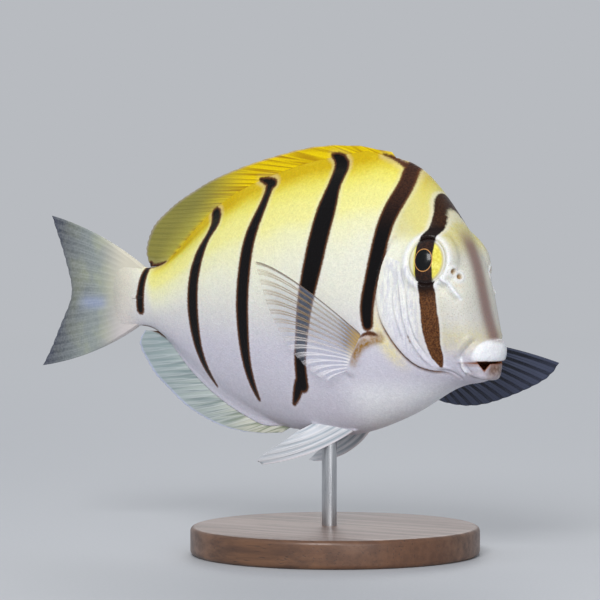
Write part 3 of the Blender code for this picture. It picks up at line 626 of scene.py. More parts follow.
def skin_finish():
    f = Finish("skin", specular_ior_level=0.16, coat_weight=0.05, coat_roughness=0.1, subsurface_weight=0.05,
               subsurface_scale=0.0006)
    fine, grain = f.noise(0.2, 3, 0.6), f.noise(0.45, 3, 0.6)
    depth = f.plus("depth", f.swing(f.noise(5, 3), 0.12), f.swing(grain, 0.05))
    gold = f.ramp(depth, (0, (210, 178, 10)), (0.07, (228, 208, 58)), (0.14, (238, 228, 106)),
                  (0.27, (242, 236, 142)), (0.4, (243, 238, 156)), (0.52, (241, 239, 188)),
                  (0.7, (240, 239, 207)), (0.9, (238, 238, 216)))
    mottled = f.step(grain, 0.35, 0.65, 0.6, 1)
    streaks = f.step(f.noise(0.4, 3, 0.6, (1, 1, 5)), 0.42, 0.62)
    colour = f.layers(
        gold, (f.step(depth, 0.6, 1.05), f.mix("lilac", (235, 234, 217), (210, 207, 219))),
        (f.times("sand", f.step(grain, 0.25, 0.75, 0.6, 1)),
         f.mix("specks", (204, 192, 118), (203, 200, 189))),
        # tan at the pectoral fin's foot, and a painted shadow patch in front of the ridge below the eye
        (f.times("cream", mottled), (238, 224, 158)), (f.times("tan_and_shade", mottled), (152, 112, 44)),
        ("tail", f.mix("lilac", (226, 220, 202), (219, 211, 212))), ("fin_tone", (158, 164, 152)),
        # white skin, painted highlights, and painted light on the throat
        ("white_and_painted_light", (244, 245, 248)), (f.times("cheek", streaks, 0.5), (192, 192, 208)),
        ("mauve", (134, 104, 98)), ("rust", f.mix(f.step(grain, 0.4, 0.6), (92, 52, 24), (152, 100, 46))),
        (f.times(f.step(f.cells(0.45), 0.1, 0.3, 1, 0), "specks", 0.4), (140, 112, 70)))
    shade = f.ramp(f.plus(f.times(fine, 0.6), f.times(grain, 0.4)), (0.3, (0.82, 0.82, 0.84, 1)),
                   (0.68, (1.05, 1.05, 1.04, 1)))
    brown_edge = f.plus("brown", f.swing(grain, 0.4))
    brown = f.mix("deep", f.mix(f.step(fine, 0.35, 0.7), (66, 36, 18), (116, 74, 40)), (26, 15, 12))
    colour = f.layers(f.mix(1, colour, shade, "MULTIPLY"),
                      (f.step(brown_edge, 0.2, 1, 0.35, 0), (232, 230, 238)),
                      (f.step(brown_edge, -0.15, 0.2, 1, 0), brown))
    black = f.mix("umber", (4, 1, 2), f.mix(f.step(fine, 0.35, 0.65), (44, 22, 14), (70, 42, 28)))
    colour = add_bars(f, colour, f.plus(f.times(fine, 0.9), 0.05), black=black)
    # the lower lip's pink, darkened to brown as painted shade under the upper lip
    pink_and_shade = f.mix(f.step(grain, 0.3, 0.7), (112, 84, 72), (156, 134, 124))
    # inside the mouth a brown that is partly its flesh and partly painted shade in the hollow
    colour = f.layers(colour, ("pink_and_shade", pink_and_shade), ("nostril", (160, 126, 80)), ("mouth", (140, 84, 52)))
    scales = f.step(f.cells(0.55, (1, 1, 0.8)), 0, 0.6)
    height = f.plus(f.times(scales, -0.4), f.times(fine, 0.6), f.times(f.noise(1.4), 0.8),
                    f.times("wet", f.noise(0.8), 1.6))
    return f.done(colour, f.plus(f.step(grain, 0.2, 0.8, 0.28, 0.4), f.times("wet", -0.14)), height, 0.08)


# The skin


def whole_skin(back, side, up):
    return skin_distance(back, np.abs(side), up)


def gill_side(back, up):
    """How far a place is in front of the gill cover's edge, and where along the edge."""
    edge = smoothed(GILL_EDGE, 60)
    gap, where = nearest(edge, back, up)
    covered = inside(np.concatenate([edge, [(-9, -16), (-9, 16)]]), back, up)
    return np.where(covered, gap, -gap), where


def from_nostrils(back, side, up):
    """How far each point of the skin is from the nearest nostril, whose depth is read off the skin itself."""
    gaps = []
    for b, u in NOSTRILS:
        near = (np.hypot(back - b, up - u) < 0.6) & (np.abs(side) > 3)
        deep = np.abs(side[near]).mean()
        gaps.append(np.sqrt((back - b) ** 2 + (np.abs(side) - deep) ** 2 + (up - u) ** 2))
    return np.min(gaps, axis=0)


def relief(back, side, up):
    """How far the skin is raised by the gill cover, folds, ridges and nostrils."""
    ahead, where = gill_side(back, up)
    plate = 0.62 * np.exp(-np.maximum(ahead, 0) / 4.5) * smooth(-0.14, 0.14, ahead)
    raised = between(0, 0.16, 0.84, 1, where) * (plate - 0.26 * bell(ahead + 0.35, 0.35))
    for points, height, wide in FOLDS:
        gap, where = nearest(smoothed(points, 14), back, up)
        raised += height * bell(gap, wide) * between(0, 0.2, 0.8, 1, where)
    gap = from_nostrils(back, side, up)
    return raised + 0.24 * bell(gap - 0.85, 0.28) - 0.55 * bell(gap, 0.5, 4)


def into_tail_fin(back, up):
    """From 0 on the tail stalk to 1 on the bare tail fin."""
    return smooth(98.5, 109, back - 0.12 * np.abs(up))


def into_lilac(up):
    """From 0 on the yellow back to 1 on the lilac belly."""
    return 1 - smooth(-12, 6, up)


def skin_masks(back, side, up):
    """The numbers that the skin's material draws its markings from, and its painted highlights, painted light
    and painted shade.
    """
    away = np.abs(side)
    flank = away > 3.5
    below = back_line(np.clip(back, HEAD_FRONT, BODY_END)) - up
    quick = np.interp(back, (4, 12, 20, 27, 35, 60, 75, 83, 90, 97),
                      (1.3, 1.25, 1.2, 1.1, 1, 1, 1.35, 1.8, 2.2, 4))
    brow = np.interp(up, (4, 12, 18, 26), (1.2, 0.75, 0.5, 0.2)) * smooth(21, 14, back)
    depth = np.maximum(below * quick / 25 + smooth(90, 99, back), brow)
    near_eye = np.maximum(0, np.hypot(back - 14.2, (up - 9) * 0.9) - 4.4)
    eye_side = 1 - bell(np.hypot(back - 10, up - 5), 3.4)
    sand = smooth(19, 11, back) * smooth(-12, -5, up) * eye_side * np.interp(up, (0, 12), (0.85, 0.95))
    ahead, where = gill_side(back, up)
    cheek = smooth(0, 2, ahead) * smooth(13, 16.5, back) * (where > 0.1) * (1 - smooth(9, 14, up))
    gill_line = bell(ahead + 0.3, 0.36) * (0.2 + 0.75 * between(0.4, 0.55, 0.85, 0.95, where)) * flank
    dots = [0.9 * bell(np.hypot(back - b, (up - u) * 0.7), 0.24) for b, u in GILL_DOTS]
    foot = bell(nearest(PECTORAL_FOOT, back, up)[0] / np.interp(up, (-13, -7), (0.9, 1.35)), 1, 4)
    ridge, along = nearest(EYE_RIDGE, back, up)
    crown = beyond_eye(*in_eye(back, away, up)[::2])
    ring = 0.75 * bell(crown - 0.7, 0.7) * (back < 22)
    upper, lower = (lip_distance(lip, back, away, up) for lip in (UPPER_LIP, LOWER_LIP))
    spot = from_nostrils(back, away, up)
    # Pale skin: the ring round the eye, the upper lip and the cheek. Painted highlights: the line along the
    # ridge below the eye and the glint on the lip fold. The nostril rims are pale with painted highlights on
    # them. The throat is lightened as painted light where it lies in shade.
    white_and_painted_light = [ring, 0.95 * (1 - smooth(0, 0.25, upper)), np.interp(up, (-14, -4), (0.1, 0.4)) * cheek,
             bell(ridge / np.interp(along, (0, 1), (0.8, 0.2)), 1),
             0.8 * bell(nearest(LIP_FOLD, back, up)[0], 0.4) * smooth(0.1, 0.5, lower),
             0.8 * smooth(38, 28, back) * smooth(9, 13, back) * smooth(-14, -20, up),
             0.6 * bell(spot - 1, 0.5)]
    # the lower lip's pink, strongest at the front, where its darker brown is painted shade under the upper
    # lip
    pink_and_shade = (1 - smooth(0.1, 0.6, lower)) * smooth(0, 0.2, upper) * np.interp(up, (-15.6, -13.6), (0.4, 1))
    return {
        "depth": np.clip(depth, 0, 1.4),
        "lilac": into_lilac(up),
        "tail": smooth(94, 100, back),
        "fin_tone": into_tail_fin(back, up),
        # the bars, and the painted shadow lines in the fin notches
        "dark": bar_edge(back, up),
        "umber": smooth(33, 28, back) * smooth(14, 27, up),
        "brown": bar_distance(EYE_BAR, back, up),
        "deep": np.clip(bell(near_eye, 1.7) + 0.7 * smooth(12, 16, up), 0, 1),
        "sand": np.maximum(sand, 0.75 * smooth(26, 21, back) * smooth(12, 16, up)),
        "specks": smooth(15, 9, back) * between(-9, -2, 9, 14, up),
        "mauve": 0.9 * bell(away, 2.5, 3) * between(-8.4, -6.4, 12, 17, up) * (back < 20),
        "rust": np.max([gill_line, *dots], axis=0),
        "cream": 0.85 * between(0.3, 0.42, 0.62, 0.78, where) * bell(ahead + 1.9, 1.5) * flank,
        # tan at the pectoral fin's foot, and a painted shadow patch in front of the ridge below the eye
        "tan_and_shade": foot * smooth(-15.5, -10, up) + 0.25 * bell(np.hypot(back - 8.2, up - 4.4), 0.9),
        "white_and_painted_light": np.clip(np.max(white_and_painted_light, axis=0), 0, 1),
        "nostril": bell(spot, 0.58, 4),
        "cheek": cheek,
        "pink_and_shade": pink_and_shade * (1 - 0.7 * smooth(1.8, 3.6, away)),
        "wet": np.maximum(1 - smooth(0.1, 0.6, np.minimum(upper, lower)), ring),
        # the inside of the mouth, coloured brown: partly its flesh, partly painted shade in the hollow
        "mouth": (1 - smooth(0, 0.3, mouth_distance(back, away, up))) * smooth(1.6, 2.6, back),
    }


def make_skin():
    head, body = np.arange(GRID_FRONT, HEAD_END, HEAD_STEP), np.arange(HEAD_END, GRID_REAR, BODY_STEP)
    backs = np.concatenate([head, body])
    sides, ups = np.arange(0, GRID_SIDE, SIDE_STEP), np.arange(GRID_LOW, GRID_HIGH, UP_STEP)
    values = skin_distance(backs[:, None, None], sides[None, :, None], ups[None, None, :]).astype(np.float32)
    values = np.concatenate([values[:, :0:-1], values], axis=1)
    points, quads = surface(values, (backs, np.concatenate([-sides[:0:-1], sides]), ups))
    for _ in range(3):
        slope = np.stack(slopes(whole_skin, *points.T, NEAR), axis=1)
        move = slope * (whole_skin(*points.T) / np.maximum(0.25, (slope**2).sum(axis=1)))[:, None]
        points = points - move * np.minimum(1, 0.2 / (np.linalg.norm(move, axis=1) + 1e-9))[:, None]
    out = np.stack(slopes(whole_skin, *points.T, NEAR), axis=1)
    out /= np.linalg.norm(out, axis=1, keepdims=True) + 1e-9
    masks = skin_masks(*points.T)
    raised = relief(points[:, 0], np.abs(points[:, 1]), points[:, 2]) * (1 - masks["mouth"])
    points = points + out * raised[:, None]
    nodes = ("head", "lower_jaw", "gill_cover_left", "gill_cover_right", "torso", "tail_stalk")
    # back runs against the frame's X, so the quads turn round
    new_piece("skin", place(points), quads[:, ::-1], masks, skin_finish(), nodes)


make_skin()


# Fins


def fin_finish(name, colour, alpha, rough=(0.36, 0.5), deep=0.04):
    """A fin's material, from functions that take the finish and give a colour and an alpha."""
    f = Finish(name, specular_ior_level=0.15)
    stripes = f.noise(0.35, 3, 0.6)
    return f.done(colour(f), f.step(stripes, 0.25, 0.75, *rough), stripes, deep, alpha(f))


def dorsal_colour(f):
    gold = f.mix(f.step("streak", 0.25, 0.8), (232, 202, 0), (176, 134, 0))
    lobe = f.mix(f.step("along", 0.1, 0.75), (184, 176, 74), (136, 132, 62))
    colour = f.layers(
        gold, ("ray", (246, 220, 4), 0.35),
        ("lobe", f.mix(f.times("ray", 0.25), lobe, (176, 166, 84))), (f.step("root", 0.2, 1), (218, 186, 14)),
        ("edge", (176, 166, 158), 0.7),
        (f.times(f.step(f.noise(0.2), 0.35, 0.65), 0.12), (120, 92, 10)))
    return add_bars(f, colour, f.noise(0.45, 3, 0.6), 0.05)


def anal_colour(f):
    colour = f.layers(
        f.mix(f.step("streak", 0.3, 0.8), (176, 186, 182), (132, 146, 146)),
        ("front", f.mix(f.step("streak", 0.35, 0.65), (206, 206, 190), (150, 158, 136))),
        ("lobe", (148, 164, 166), 0.8), ("ray", (216, 220, 224), 0.3),
        (f.step("root", 0.1, 1), (222, 216, 222)), ("edge", (196, 202, 230)))
    return add_bars(f, colour, f.noise(0.45, 3, 0.6), 0)


def caudal_colour(f):
    return f.layers(
        f.mix(f.step(f.noise(4, 3), 0.35, 0.65), (162, 168, 146), (138, 146, 144)),
        ("lobe", (44, 48, 68)), ("blue", (152, 164, 198)), ("ray", (196, 202, 206), 0.12),
        (f.times(f.step(f.noise(0.3), 0.3, 0.7), 0.14), (206, 208, 206)),
        ("front", f.mix("lilac", (214, 208, 190), (207, 199, 200))), ("edge", (84, 88, 106), 0.35))


def fine_rays(f):
    """The hair lines that each ray splits into, in a group that spreads outwards."""
    wave = f.math("SINE", f.plus(f.times("across", 270), f.times(f.noise(3), 5)))
    group = f.math("COSINE", f.times("across", 2 * math.pi * (PECTORAL_RAYS - 1)))
    group = f.step(f.plus(group, f.times("along", 0.9)), 0, 0.7)
    return f.times(f.step(wave, 0.2, 0.9), group, f.step("along", 0.1, 0.5))


def pectoral_colour(f):
    lines = f.mix(f.step("across", 0.35, 0.75), (164, 142, 116), (248, 246, 250))
    base = f.mix(f.step("across", 0.25, 0.8), (184, 152, 92), (240, 234, 222))
    return f.layers(
        f.mix("across", (170, 186, 216), (206, 214, 236)),
        (f.math("MAXIMUM", f.step("ray", 0.3, 0.8), fine_rays(f)), lines), (f.step("root", 0.3, 1), base),
        ("lead", (112, 96, 86)))


def pectoral_alpha(f):
    lines = f.plus(f.times(f.step("ray", 0.4, 0.8), 0.24), f.times(fine_rays(f), 0.24))
    film = f.plus(f.step("along", 0.7, 1, 0.09, 0.03), f.times(lines, f.step("along", 0.6, 1, 1, 0.4)),
                  f.times("root", 0.7), f.times("lead", 0.4))
    return f.math("MINIMUM", film, 1)


# The far pectoral fin is as clear as the near one. Its blue-black colour and near-opaque alpha are painted
# shade for the fin lying behind the body.
def shaded_far_pectoral_colour(f):
    return f.layers(f.mix("ray", (20, 24, 38), (84, 90, 110)),
                    (f.step("along", 0.75, 1, 0, 0.4), (70, 76, 98)),
                    (f.step("root", 0.3, 1), (190, 186, 184)))


def shaded_far_pectoral_alpha(f):
    return f.math("MINIMUM", f.plus(0.86, f.times("ray", 0.12), f.times("root", 0.4)), 1)


def pelvic_colour(f):
    return f.layers(f.mix(f.step("streak", 0.3, 0.8), (204, 208, 214), (166, 176, 184)),
                    ("ray", (232, 230, 232), 0.6), ("lead", (234, 228, 232)))


def fin(name, curve, count, spines, material, slot, per, rows, sink=1.6, film=0.09, ridge=(0.24, 0.1),
        notch=0.3, lead=0, wave=0, masks=None, root=(0.45, 0.16)):
    """A thin closed fin over count rays. curve(u, t) gives its middle surface: u counts rays, and t goes from
    0 to 1 outwards."""
    per, rows = max(3, per // FINE), max(8, rows // FINE)
    u = np.linspace(0, count - 1, (count - 1) * per + 1)
    t = np.concatenate([[-1], np.linspace(0, 1, rows) ** 0.9])
    part = u - np.round(u)
    soft = smooth(spines - 0.6, spines - 0.4, u)
    steps = np.broadcast_to(np.maximum(t, 0), (len(u), rows + 1)).copy()
    span = np.linalg.norm(curve(u, np.ones(len(u))) - curve(u, np.zeros(len(u))), axis=1)
    steps *= 1 - (notch * (1 - 0.45 * soft) * (2 * part) ** 2 / span)[:, None]
    grid = curve(np.repeat(u[:, None], rows + 1, 1), steps)
    inward = grid[:, 1] - grid[:, 2]
    grid[:, 0] = grid[:, 1] + inward / np.linalg.norm(inward, axis=1, keepdims=True) * sink
    across, along = np.gradient(grid, u, axis=0), np.gradient(grid, axis=1)
    normal = np.cross(across, along)
    normal /= np.linalg.norm(normal, axis=2, keepdims=True) + 1e-9
    gap = np.linalg.norm(across, axis=2)
    # On its way out a soft ray splits in two, and each half again
    first = 0.15 * smooth(0.3, 0.6, steps) * soft[:, None]
    second = 0.07 * smooth(0.6, 0.85, steps) * soft[:, None]
    offset = np.abs(np.abs(np.abs(part)[:, None] - first) - second) * gap
    wide = (0.3 - 0.14 * smooth(0.1, 0.9, steps)) * (1 + 0.25 * (1 - soft[:, None]))
    ray = bell(offset, wide)
    thick = film + ray * (ridge[0] + (ridge[1] - ridge[0]) * steps) * smooth(0, min(0.4, root[1]), steps)
    thick += root[0] * (1 - smooth(0, root[1], steps))
    leading = bell(u * gap.mean(axis=1), 0.45)[:, None]
    thick += lead * leading * (1 - 0.7 * steps)
    thick *= np.sqrt(np.clip((1 - t) * 8, 0.03, 1))[None, :]
    thick *= np.sqrt(np.clip(np.minimum(u, u[-1] - u) * 3, 0.15, 1))[:, None]
    ripple = wave * np.sin(u * 1.15 + 0.6)[:, None] * steps**2
    grid = grid + normal * ripple[..., None]
    rng = np.random.default_rng(FIN_SEED)
    lines = np.interp(u, np.linspace(0, count - 1, 3 * count), rng.random(3 * count))[:, None]
    streak = 0.65 * lines + 0.25 * np.sin(steps * 5 + 9 * lines) + 0.1
    numbers = {"ray": ray, "along": steps, "across": (u / u[-1])[:, None], "root": 1 - smooth(0, 0.2, steps),
               "edge": smooth(0.93, 1, steps), "lead": leading * (steps < 0.97),
               "streak": np.clip(streak, 0, 1)}
    numbers.update(masks(grid, numbers) if masks else {})
    size = len(u) * (rows + 1)
    half = normal * thick[..., None] / 2
    points = place(np.concatenate([grid + half, grid - half])).reshape(-1, 3)
    index = np.arange(size).reshape(len(u), rows + 1)
    far = index + size
    sides = [grid_quads(len(u), rows + 1), grid_quads(len(u), rows + 1, turn=True) + size]
    edges = ((index[0], far[0]), (far[-1], index[-1]), (far[:, 0], index[:, 0]), (index[:, -1], far[:, -1]))
    for near, other in edges:
        sides.append(np.stack([near[:-1], near[1:], other[1:], other[:-1]], axis=1))
    shape = grid.shape[:2]
    values = {key: np.tile(np.broadcast_to(value, shape).ravel(), 2) for key, value in numbers.items()}
    new_piece(name, points, np.concatenate(sides)[:, ::-1], values, material, (name,))


def bent_rays(roots, tips, bows):
    """A curve function for rays that each go from root to tip, bent by a bow."""
    number = np.arange(len(roots))
    roots, tips, bows = (np.array(values, float) for values in (roots, tips, bows))

    def at(values, u):
        return np.stack([np.interp(u, number, values[:, i]) for i in range(3)], axis=-1)

    def curve(u, t):
        root, tip, bow = at(roots, u), at(tips, u), at(bows, u)
        t = t[..., None]
        return (1 - t) ** 2 * root + 2 * t * (1 - t) * (root + (tip - root) * 0.45 + bow) + t**2 * tip

    return curve


def median_rays(line, base, spines, step, soft, margin, lean):
    """The curve function of a fin along the middle, and how many rays and spines it has."""
    edge, fraction = path(margin), spline(lean)
    first = base[0] + spines * step
    backs = np.array([base[0] + i * step for i in range(spines)]
                     + [first + (base[1] - first) * i / (soft - 1) for i in range(soft)])
    ends = edge(fraction((backs - base[0]) / (base[1] - base[0])))
    zero, low = np.zeros(len(backs)), line(backs)
    roots = np.stack([backs, zero, low - np.copysign(0.6, low)], axis=1)
    curve = bent_rays(roots, np.stack([ends[:, 0], zero, ends[:, 1]], axis=1), np.zeros((len(backs), 3)))
    return curve, spines + soft, spines


def make_median_fins():
    def dorsal_masks(grid, numbers):
        back, up = grid[..., 0], grid[..., 2]
        along = numbers["along"]
        lobe = smooth(66, 84, back + 4 * along) * smooth(0.12, 0.34, along)
        # the dark mask holds the bars and the painted shadow line in the notch behind the fin
        return {"dark": bar_edge(back, up), "lobe": lobe}

    f = fin_finish("dorsal", dorsal_colour, lambda f: f.math("SUBTRACT", 1, f.times("lobe", 0.12)))
    fin("dorsal_fin", *median_rays(back_line, **DORSAL), f, "yellow_fin", 12, 56, wave=0.12,
        masks=dorsal_masks)

    def anal_masks(grid, numbers):
        back = grid[..., 0]
        # the anal fin's dark mark comes only from the painted shadow lines in the fin notches
        return {"dark": bar_edge(back, grid[..., 2], BARS[-2:]), "front": 1 - smooth(62, 78, back),
                "lobe": smooth(78, 92, back)}

    f = fin_finish("anal", anal_colour, lambda f: f.step("along", 0.2, 1, 1, 0.86))
    fin("anal_fin", *median_rays(belly_line, **ANAL), f, "clear_fin", 14, 56, wave=0.15, masks=anal_masks)


def make_caudal_fin():
    root, margin = path(CAUDAL_ROOT), path(CAUDAL_MARGIN)
    shares = np.arange(CAUDAL_RAYS) / (CAUDAL_RAYS - 1)
    starts, ends = (np.insert(edge(shares), 1, 0, axis=1) for edge in (root, margin))
    height = 1 - 2 * shares
    bows = np.zeros((CAUDAL_RAYS, 3))
    bows[:, 2] = np.where(height > 0, CAUDAL_BOW_UP, CAUDAL_BOW_DOWN) * height * np.abs(height)

    def masks(grid, numbers):
        back, up = grid[..., 0], grid[..., 2]
        rear = np.interp(up, (-16, -8, 0, 8, 16), (1, 0.85, 0.6, 0.65, 1))
        rear = rear * smooth(0.48, 1.06, numbers["along"])
        blue = 0.7 * bell(up + 1.6, 1.5) * between(104, 108, 112, 117, back)
        return {"front": 1 - into_tail_fin(back, up), "lobe": rear, "blue": blue, "lilac": into_lilac(up)}

    f = fin_finish("caudal", caudal_colour, lambda f: f.step("along", 0.4, 1, 1, 0.94), deep=0.02)
    fin("caudal_fin", bent_rays(starts, ends, bows), CAUDAL_RAYS, 0, f, "clear_fin", 18, 84, lead=0.3,
        notch=0.35, wave=0.1, masks=masks, ridge=(0.16, 0.09), root=(1.6, 0.75))


def make_pectoral_fins():
    shares = np.arange(PECTORAL_RAYS) / (PECTORAL_RAYS - 1)
    spots = np.array(PECTORAL_TOP) + np.outer(shares, np.array(PECTORAL_BOTTOM) - np.array(PECTORAL_TOP))
    # the far fin gets painted shade in place of the near fin's clear finish
    near, far = ("pectoral", pectoral_colour, pectoral_alpha), ("pectoral_far_painted_shade", shaded_far_pectoral_colour, shaded_far_pectoral_alpha)
    for name, side, shape, finish in (("pectoral_fin_right", -1, RIGHT_PECTORAL, near),
                                      ("pectoral_fin_left", 1, LEFT_PECTORAL, far)):
        flank = side * (skin_side(*spots.T) - 0.4)
        roots = np.stack([spots[:, 0], flank, spots[:, 1]], axis=1)
        tips = path(shape["tips"])(shares)
        bows = (tips - roots) * shape["late"] + np.outer(1 - 0.6 * shares, np.array(shape["bow"]))
        f = fin_finish(*finish, rough=(0.28, 0.42), deep=0.02)
        fin(name, bent_rays(roots, tips, bows), PECTORAL_RAYS, 0, f, "clear_fin", 18, 84,
            sink=1.4, film=0.05, ridge=(0.22, 0.08), lead=0.2, wave=0.12 * side, notch=0.2, root=(0.6, 0.16))


def make_pelvic_fins():
    shares = np.arange(PELVIC_RAYS + 1) / PELVIC_RAYS
    f = fin_finish("pelvic", pelvic_colour, lambda f: f.step("along", 0.3, 1, 1, 0.88))
    for name, side, shape in (("pelvic_fin_right", -1, RIGHT_PELVIC), ("pelvic_fin_left", 1, LEFT_PELVIC)):
        flip = np.array((1, side, 1))
        roots, tips = path(PELVIC_ROOTS)(shares) * flip, path(shape["tips"])(shares) * flip
        curve = bent_rays(roots, tips, np.outer(1 - shares, np.array(shape["bow"])))
        fin(name, curve, PELVIC_RAYS + 1, 1, f, "clear_fin", 22, 56, sink=1.2, lead=0.35, wave=0.1,
            notch=0.25, root=(0.5, 0.2))


# Eyes, tail spines and stand


def eye_finish():
    f = Finish("eye", specular_ior_level=0.15, coat_weight=0.3, coat_roughness=0.1)
    rays, middle = f.noise(0.35, 3, 0.6), f.plus("ahead", PUPIL_BACK)
    long, tall = f.math("DIVIDE", middle, PUPIL_LONG), f.math("DIVIDE", "rise", PUPIL_TALL)
    radius = f.math("SQRT", f.plus(f.math("POWER", long, 2), f.math("POWER", tall, 2)))
    lemon = f.mix(f.step(rays, 0.3, 0.7), (240, 232, 110), (212, 198, 70))
    # the rear of the iris paled to cream as a painted highlight
    lemon = f.mix(f.step("ahead", -2.2, -2.9), lemon, (238, 234, 200))
    brown = f.mix(f.step(rays, 0.3, 0.75), (22, 11, 8), (58, 32, 20))
    bar = f.plus(f.math("ABSOLUTE", middle), f.swing(f.noise(1.2, 3), 0.35))
    beside = f.step(bar, 1.6, 2.2)
    # Round the iris a yellowish ring, then a pale outer ring that is partly the eye's own rim and partly a
    # painted reflection of the clear cornea; both are dark where the bar crosses.
    colour = f.layers(f.mix(f.step(bar, 1.75, 2), brown, lemon),
                      (f.step("limb", 0.8, 0.87), f.mix(beside, (30, 18, 14), (206, 196, 146))),
                      (f.step("limb", 0.88, 0.93), f.mix(beside, (40, 30, 30), (220, 220, 212))))
    colour = f.mix(f.step(radius, 1.06, 1.1), (196, 140, 80), colour)
    colour = f.mix(f.step(radius, 0.98, 1.02), (2, 3, 6), colour)
    return f.done(colour, f.step(rays, 0.3, 0.7, 0.2, 0.35), rays, 0.01)


def make_eyes():
    count, rings = 96 // FINE, 72 // FINE
    turn, lean = np.meshgrid(full_turn(count), np.linspace(0, math.pi, rings), indexing="ij")
    ahead, rise = EYE_LONG * np.sin(lean) * np.cos(turn), EYE_TALL * np.sin(lean) * np.sin(turn)
    lens = bell(((ahead + PUPIL_BACK) / 2.3) ** 2 + (rise / 2.8) ** 2, 1)
    out = EYE_THICK * np.cos(lean) + 0.28 * lens * (lean < math.pi / 2)
    masks = {"ahead": ahead.ravel(), "rise": rise.ravel(), "limb": np.sin(lean).ravel()}
    local = np.stack([ahead, out, rise], axis=-1).reshape(-1, 3) @ EYE_TURN.T
    f = eye_finish()
    for name, side in (("eye_left", 1), ("eye_right", -1)):
        points = (local * (1, side, 1) + place((EYE_BACK, side * EYE_SIDE, EYE_UP)) / MM) * MM
        quads = grid_quads(count, rings, around=True, turn=side < 0)
        close_poles(new_piece(name, points, quads, masks, f, (name,)))


def make_tail_spines():
    f = Finish("tail_spine", specular_ior_level=0.3)
    grain = f.noise(0.4, 3, stretch=(3, 1, 0.6))
    bone = f.mix(f.step(grain, 0.3, 0.7), (232, 228, 220), (206, 200, 194))
    f.done(add_bars(f, bone, grain, 0), f.step(grain, 0.2, 0.8, 0.3, 0.45), grain, 0.02)
    count, rings = 24, 32 // FINE
    share, turn = np.meshgrid(np.linspace(0, 1, rings), full_turn(count))
    back = SPINE_BACK - SPINE_LONG / 2 + SPINE_LONG * share
    tall = 0.1 + SPINE_TALL / 2 * np.sin(math.pi * np.minimum(1, share * 0.62 + 0.12))
    round_end = np.sqrt(np.clip(np.minimum(share * 14, (1 - share) * 9), 0, 1))
    for name, side in (("tail_spine_left", 1), ("tail_spine_right", -1)):
        flank = half_width(back) - 0.25 + 0.45 * np.cos(turn) * round_end
        grid = np.stack([back, side * flank, tall * np.sin(turn) * round_end], axis=-1)
        # the tail bar, and the painted shadow lines in the fin notches
        dark = bar_edge(back, grid[..., 2], BARS[-3:])
        quads = grid_quads(count, rings, around=True, turn=side > 0)
        points = place(grid).reshape(-1, 3)
        close_poles(new_piece(name, points, quads, {"dark": dark}, f.material, (name,)))


def revolved(profile, centre, around):
    """The points and quads of a profile of (radius, height) turned about a vertical axis."""
    turns, (radius, height) = full_turn(around), np.transpose(profile)
    points = np.stack([np.outer(np.cos(turns), radius) + centre, np.outer(np.sin(turns), radius),
                       np.tile(height, (around, 1))], axis=-1)
    return points.reshape(-1, 3), grid_quads(around, len(profile), around=True)


def turned(name, profile, centre, material, node, around):
    """A closed solid of revolution about a vertical axis, from (radius, height) points in mm."""
    points, quads = revolved(np.array(profile) * MM, centre * MM, around)
    close_poles(new_piece(name, points, quads, {}, material, (node,)))


def make_stand():
    f = Finish("walnut", coat_weight=0.35, coat_roughness=0.25)
    bend = f.noise(14, 3, stretch=(5, 1, 1))
    lines = f.noise(1.1, 5, 0.65, stretch=(26, 1.2, 1.2))
    pores = f.noise(0.22, stretch=(14, 1, 1))
    wood = f.layers(f.mix(f.step(lines, 0.3, 0.7), (118, 82, 56), (78, 52, 36)),
                    (f.step(bend, 0.35, 0.65, 0, 0.55), (96, 60, 38)),
                    (f.step(pores, 0.6, 0.72, 0, 0.6), (48, 31, 22)))
    height = f.math("SUBTRACT", f.times(lines, 0.3), f.step(pores, 0.6, 0.75))
    f.done(wood, f.step(lines, 0.3, 0.7, 0.42, 0.55), height, 0.04)
    arc = [(BASE_RADIUS - 1 + math.sin(a), 1 - math.cos(a)) for a in np.linspace(0, math.pi / 2, 8)]
    top = [(r, BASE_THICK - h) for r, h in arc[::-1]]
    rings = (0, 10, 20, 27)
    low, high = [(r, 0) for r in rings], [(r, BASE_THICK) for r in rings[::-1]]
    turned("stand_base_turned", low + arc + top + high, 0, f.material, "stand_base", 192)
    f = Finish("steel", metallic=1, anisotropic=0.4)
    brushed = f.noise(0.12, 3, 0.6, stretch=(1, 1, 30))
    f.done(f.mix(f.step(brushed, 0.3, 0.7), (176, 177, 180), (204, 205, 207)),
           f.step(brushed, 0.25, 0.75, 0.24, 0.36), brushed, 0.01)
    low, high = 3.3, AXIS_HEIGHT + float(belly_line(ROD_BACK)) + ROD_SOCKET - 0.3
    rod = [(0, low), (ROD_RADIUS, low)] + [(ROD_RADIUS, h) for h in np.linspace(low + 0.2, high - 0.2, 12)]
    rod += [(ROD_RADIUS, high), (0, high)]
    turned("stand_rod_turned", rod, BASE_BACK - ROD_BACK, f.material, "stand_rod", 64)


make_median_fins()
make_caudal_fin()
make_pectoral_fins()
make_pelvic_fins()
make_eyes()
make_tail_spines()
make_stand()


# Floor, light and camera


WORLD, LIT_AT = (184, 187, 192), (0, 0, 0.055)
SENSOR, PICTURE = 36, 600  # width in mm and in pixels


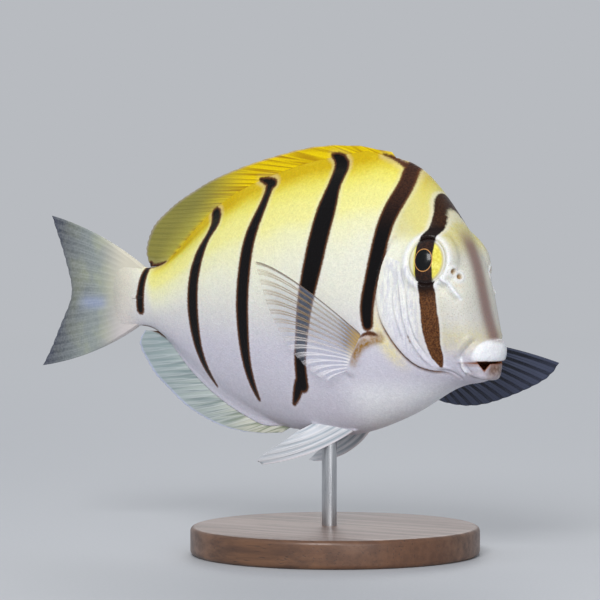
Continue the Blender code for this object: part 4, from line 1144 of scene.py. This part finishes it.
def make_stage():
    world = bpy.data.worlds.new("studio")
    bpy.context.scene.world = world
    world.use_nodes = True
    background = world.node_tree.nodes["Background"].inputs
    background["Color"].default_value, background["Strength"].default_value = rgb(*WORLD), 1
    points, quads = revolved([(r, 0) for r in (0, *np.geomspace(0.02, 6, 40))], 0, 96)
    f = Finish("floor", roughness=0.6, specular_ior_level=0.2)
    away = f.node("VectorMath", [f.node("TexCoord")["Object"]], operation="LENGTH")["Value"]
    speck = f.noise(0.4)
    f.done(f.mix(f.step(speck, 0.3, 0.7), (184, 187, 191), (190, 192, 196)),
           f.step(speck, 0.2, 0.8, 0.55, 0.65), speck, 0.01)
    glow = f.node("Emission", [WORLD])[0]
    blend = f.node("MixShader", (f.step(away, 0.12, 1.1), f.shader.outputs[0], glow))[0]
    f.put(f.tree.nodes["Material Output"].inputs[0], blend)
    floor = new_piece("floor", points, quads[:, ::-1], {}, f.material, None)


def make_light(name, at, size, power):
    """A square soft light that looks at the fish."""
    lamp = bpy.data.lights.new(name, "AREA")
    lamp.size, lamp.energy = size, power
    add_object(name, lamp, at, Vector(LIT_AT) - Vector(at))


def make_camera():
    """The photograph's view: a long lens from the fish's right and a little in front."""
    azimuth, elevation, distance, target = math.radians(35), math.radians(2), 0.72, (-0.017, 0, 0.054)
    focal, aside = 3325, 30  # pixels
    flat = math.cos(elevation)
    way = Vector((math.sin(azimuth) * flat, -math.cos(azimuth) * flat, math.sin(elevation)))
    right = Vector((math.cos(azimuth), math.sin(azimuth), 0))
    lens = bpy.data.cameras.new("camera")
    lens.sensor_width, lens.lens, lens.clip_start, lens.clip_end = SENSOR, focal * SENSOR / PICTURE, 0.01, 50
    look = (-way + right * aside / focal).normalized()
    bpy.context.scene.camera = add_object("camera", lens, Vector(target) + way * distance, look)


make_stage()
make_light("key", (0.3, -0.8, 0.6), 0.35, 5.9)
make_light("fill", (0.75, -0.6, 0.07), 0.5, 2.3)
make_light("back", (-0.5, 0.8, 0.6), 0.6, 2.5)
make_camera()
bpy.context.scene.view_settings.view_transform = "Standard"
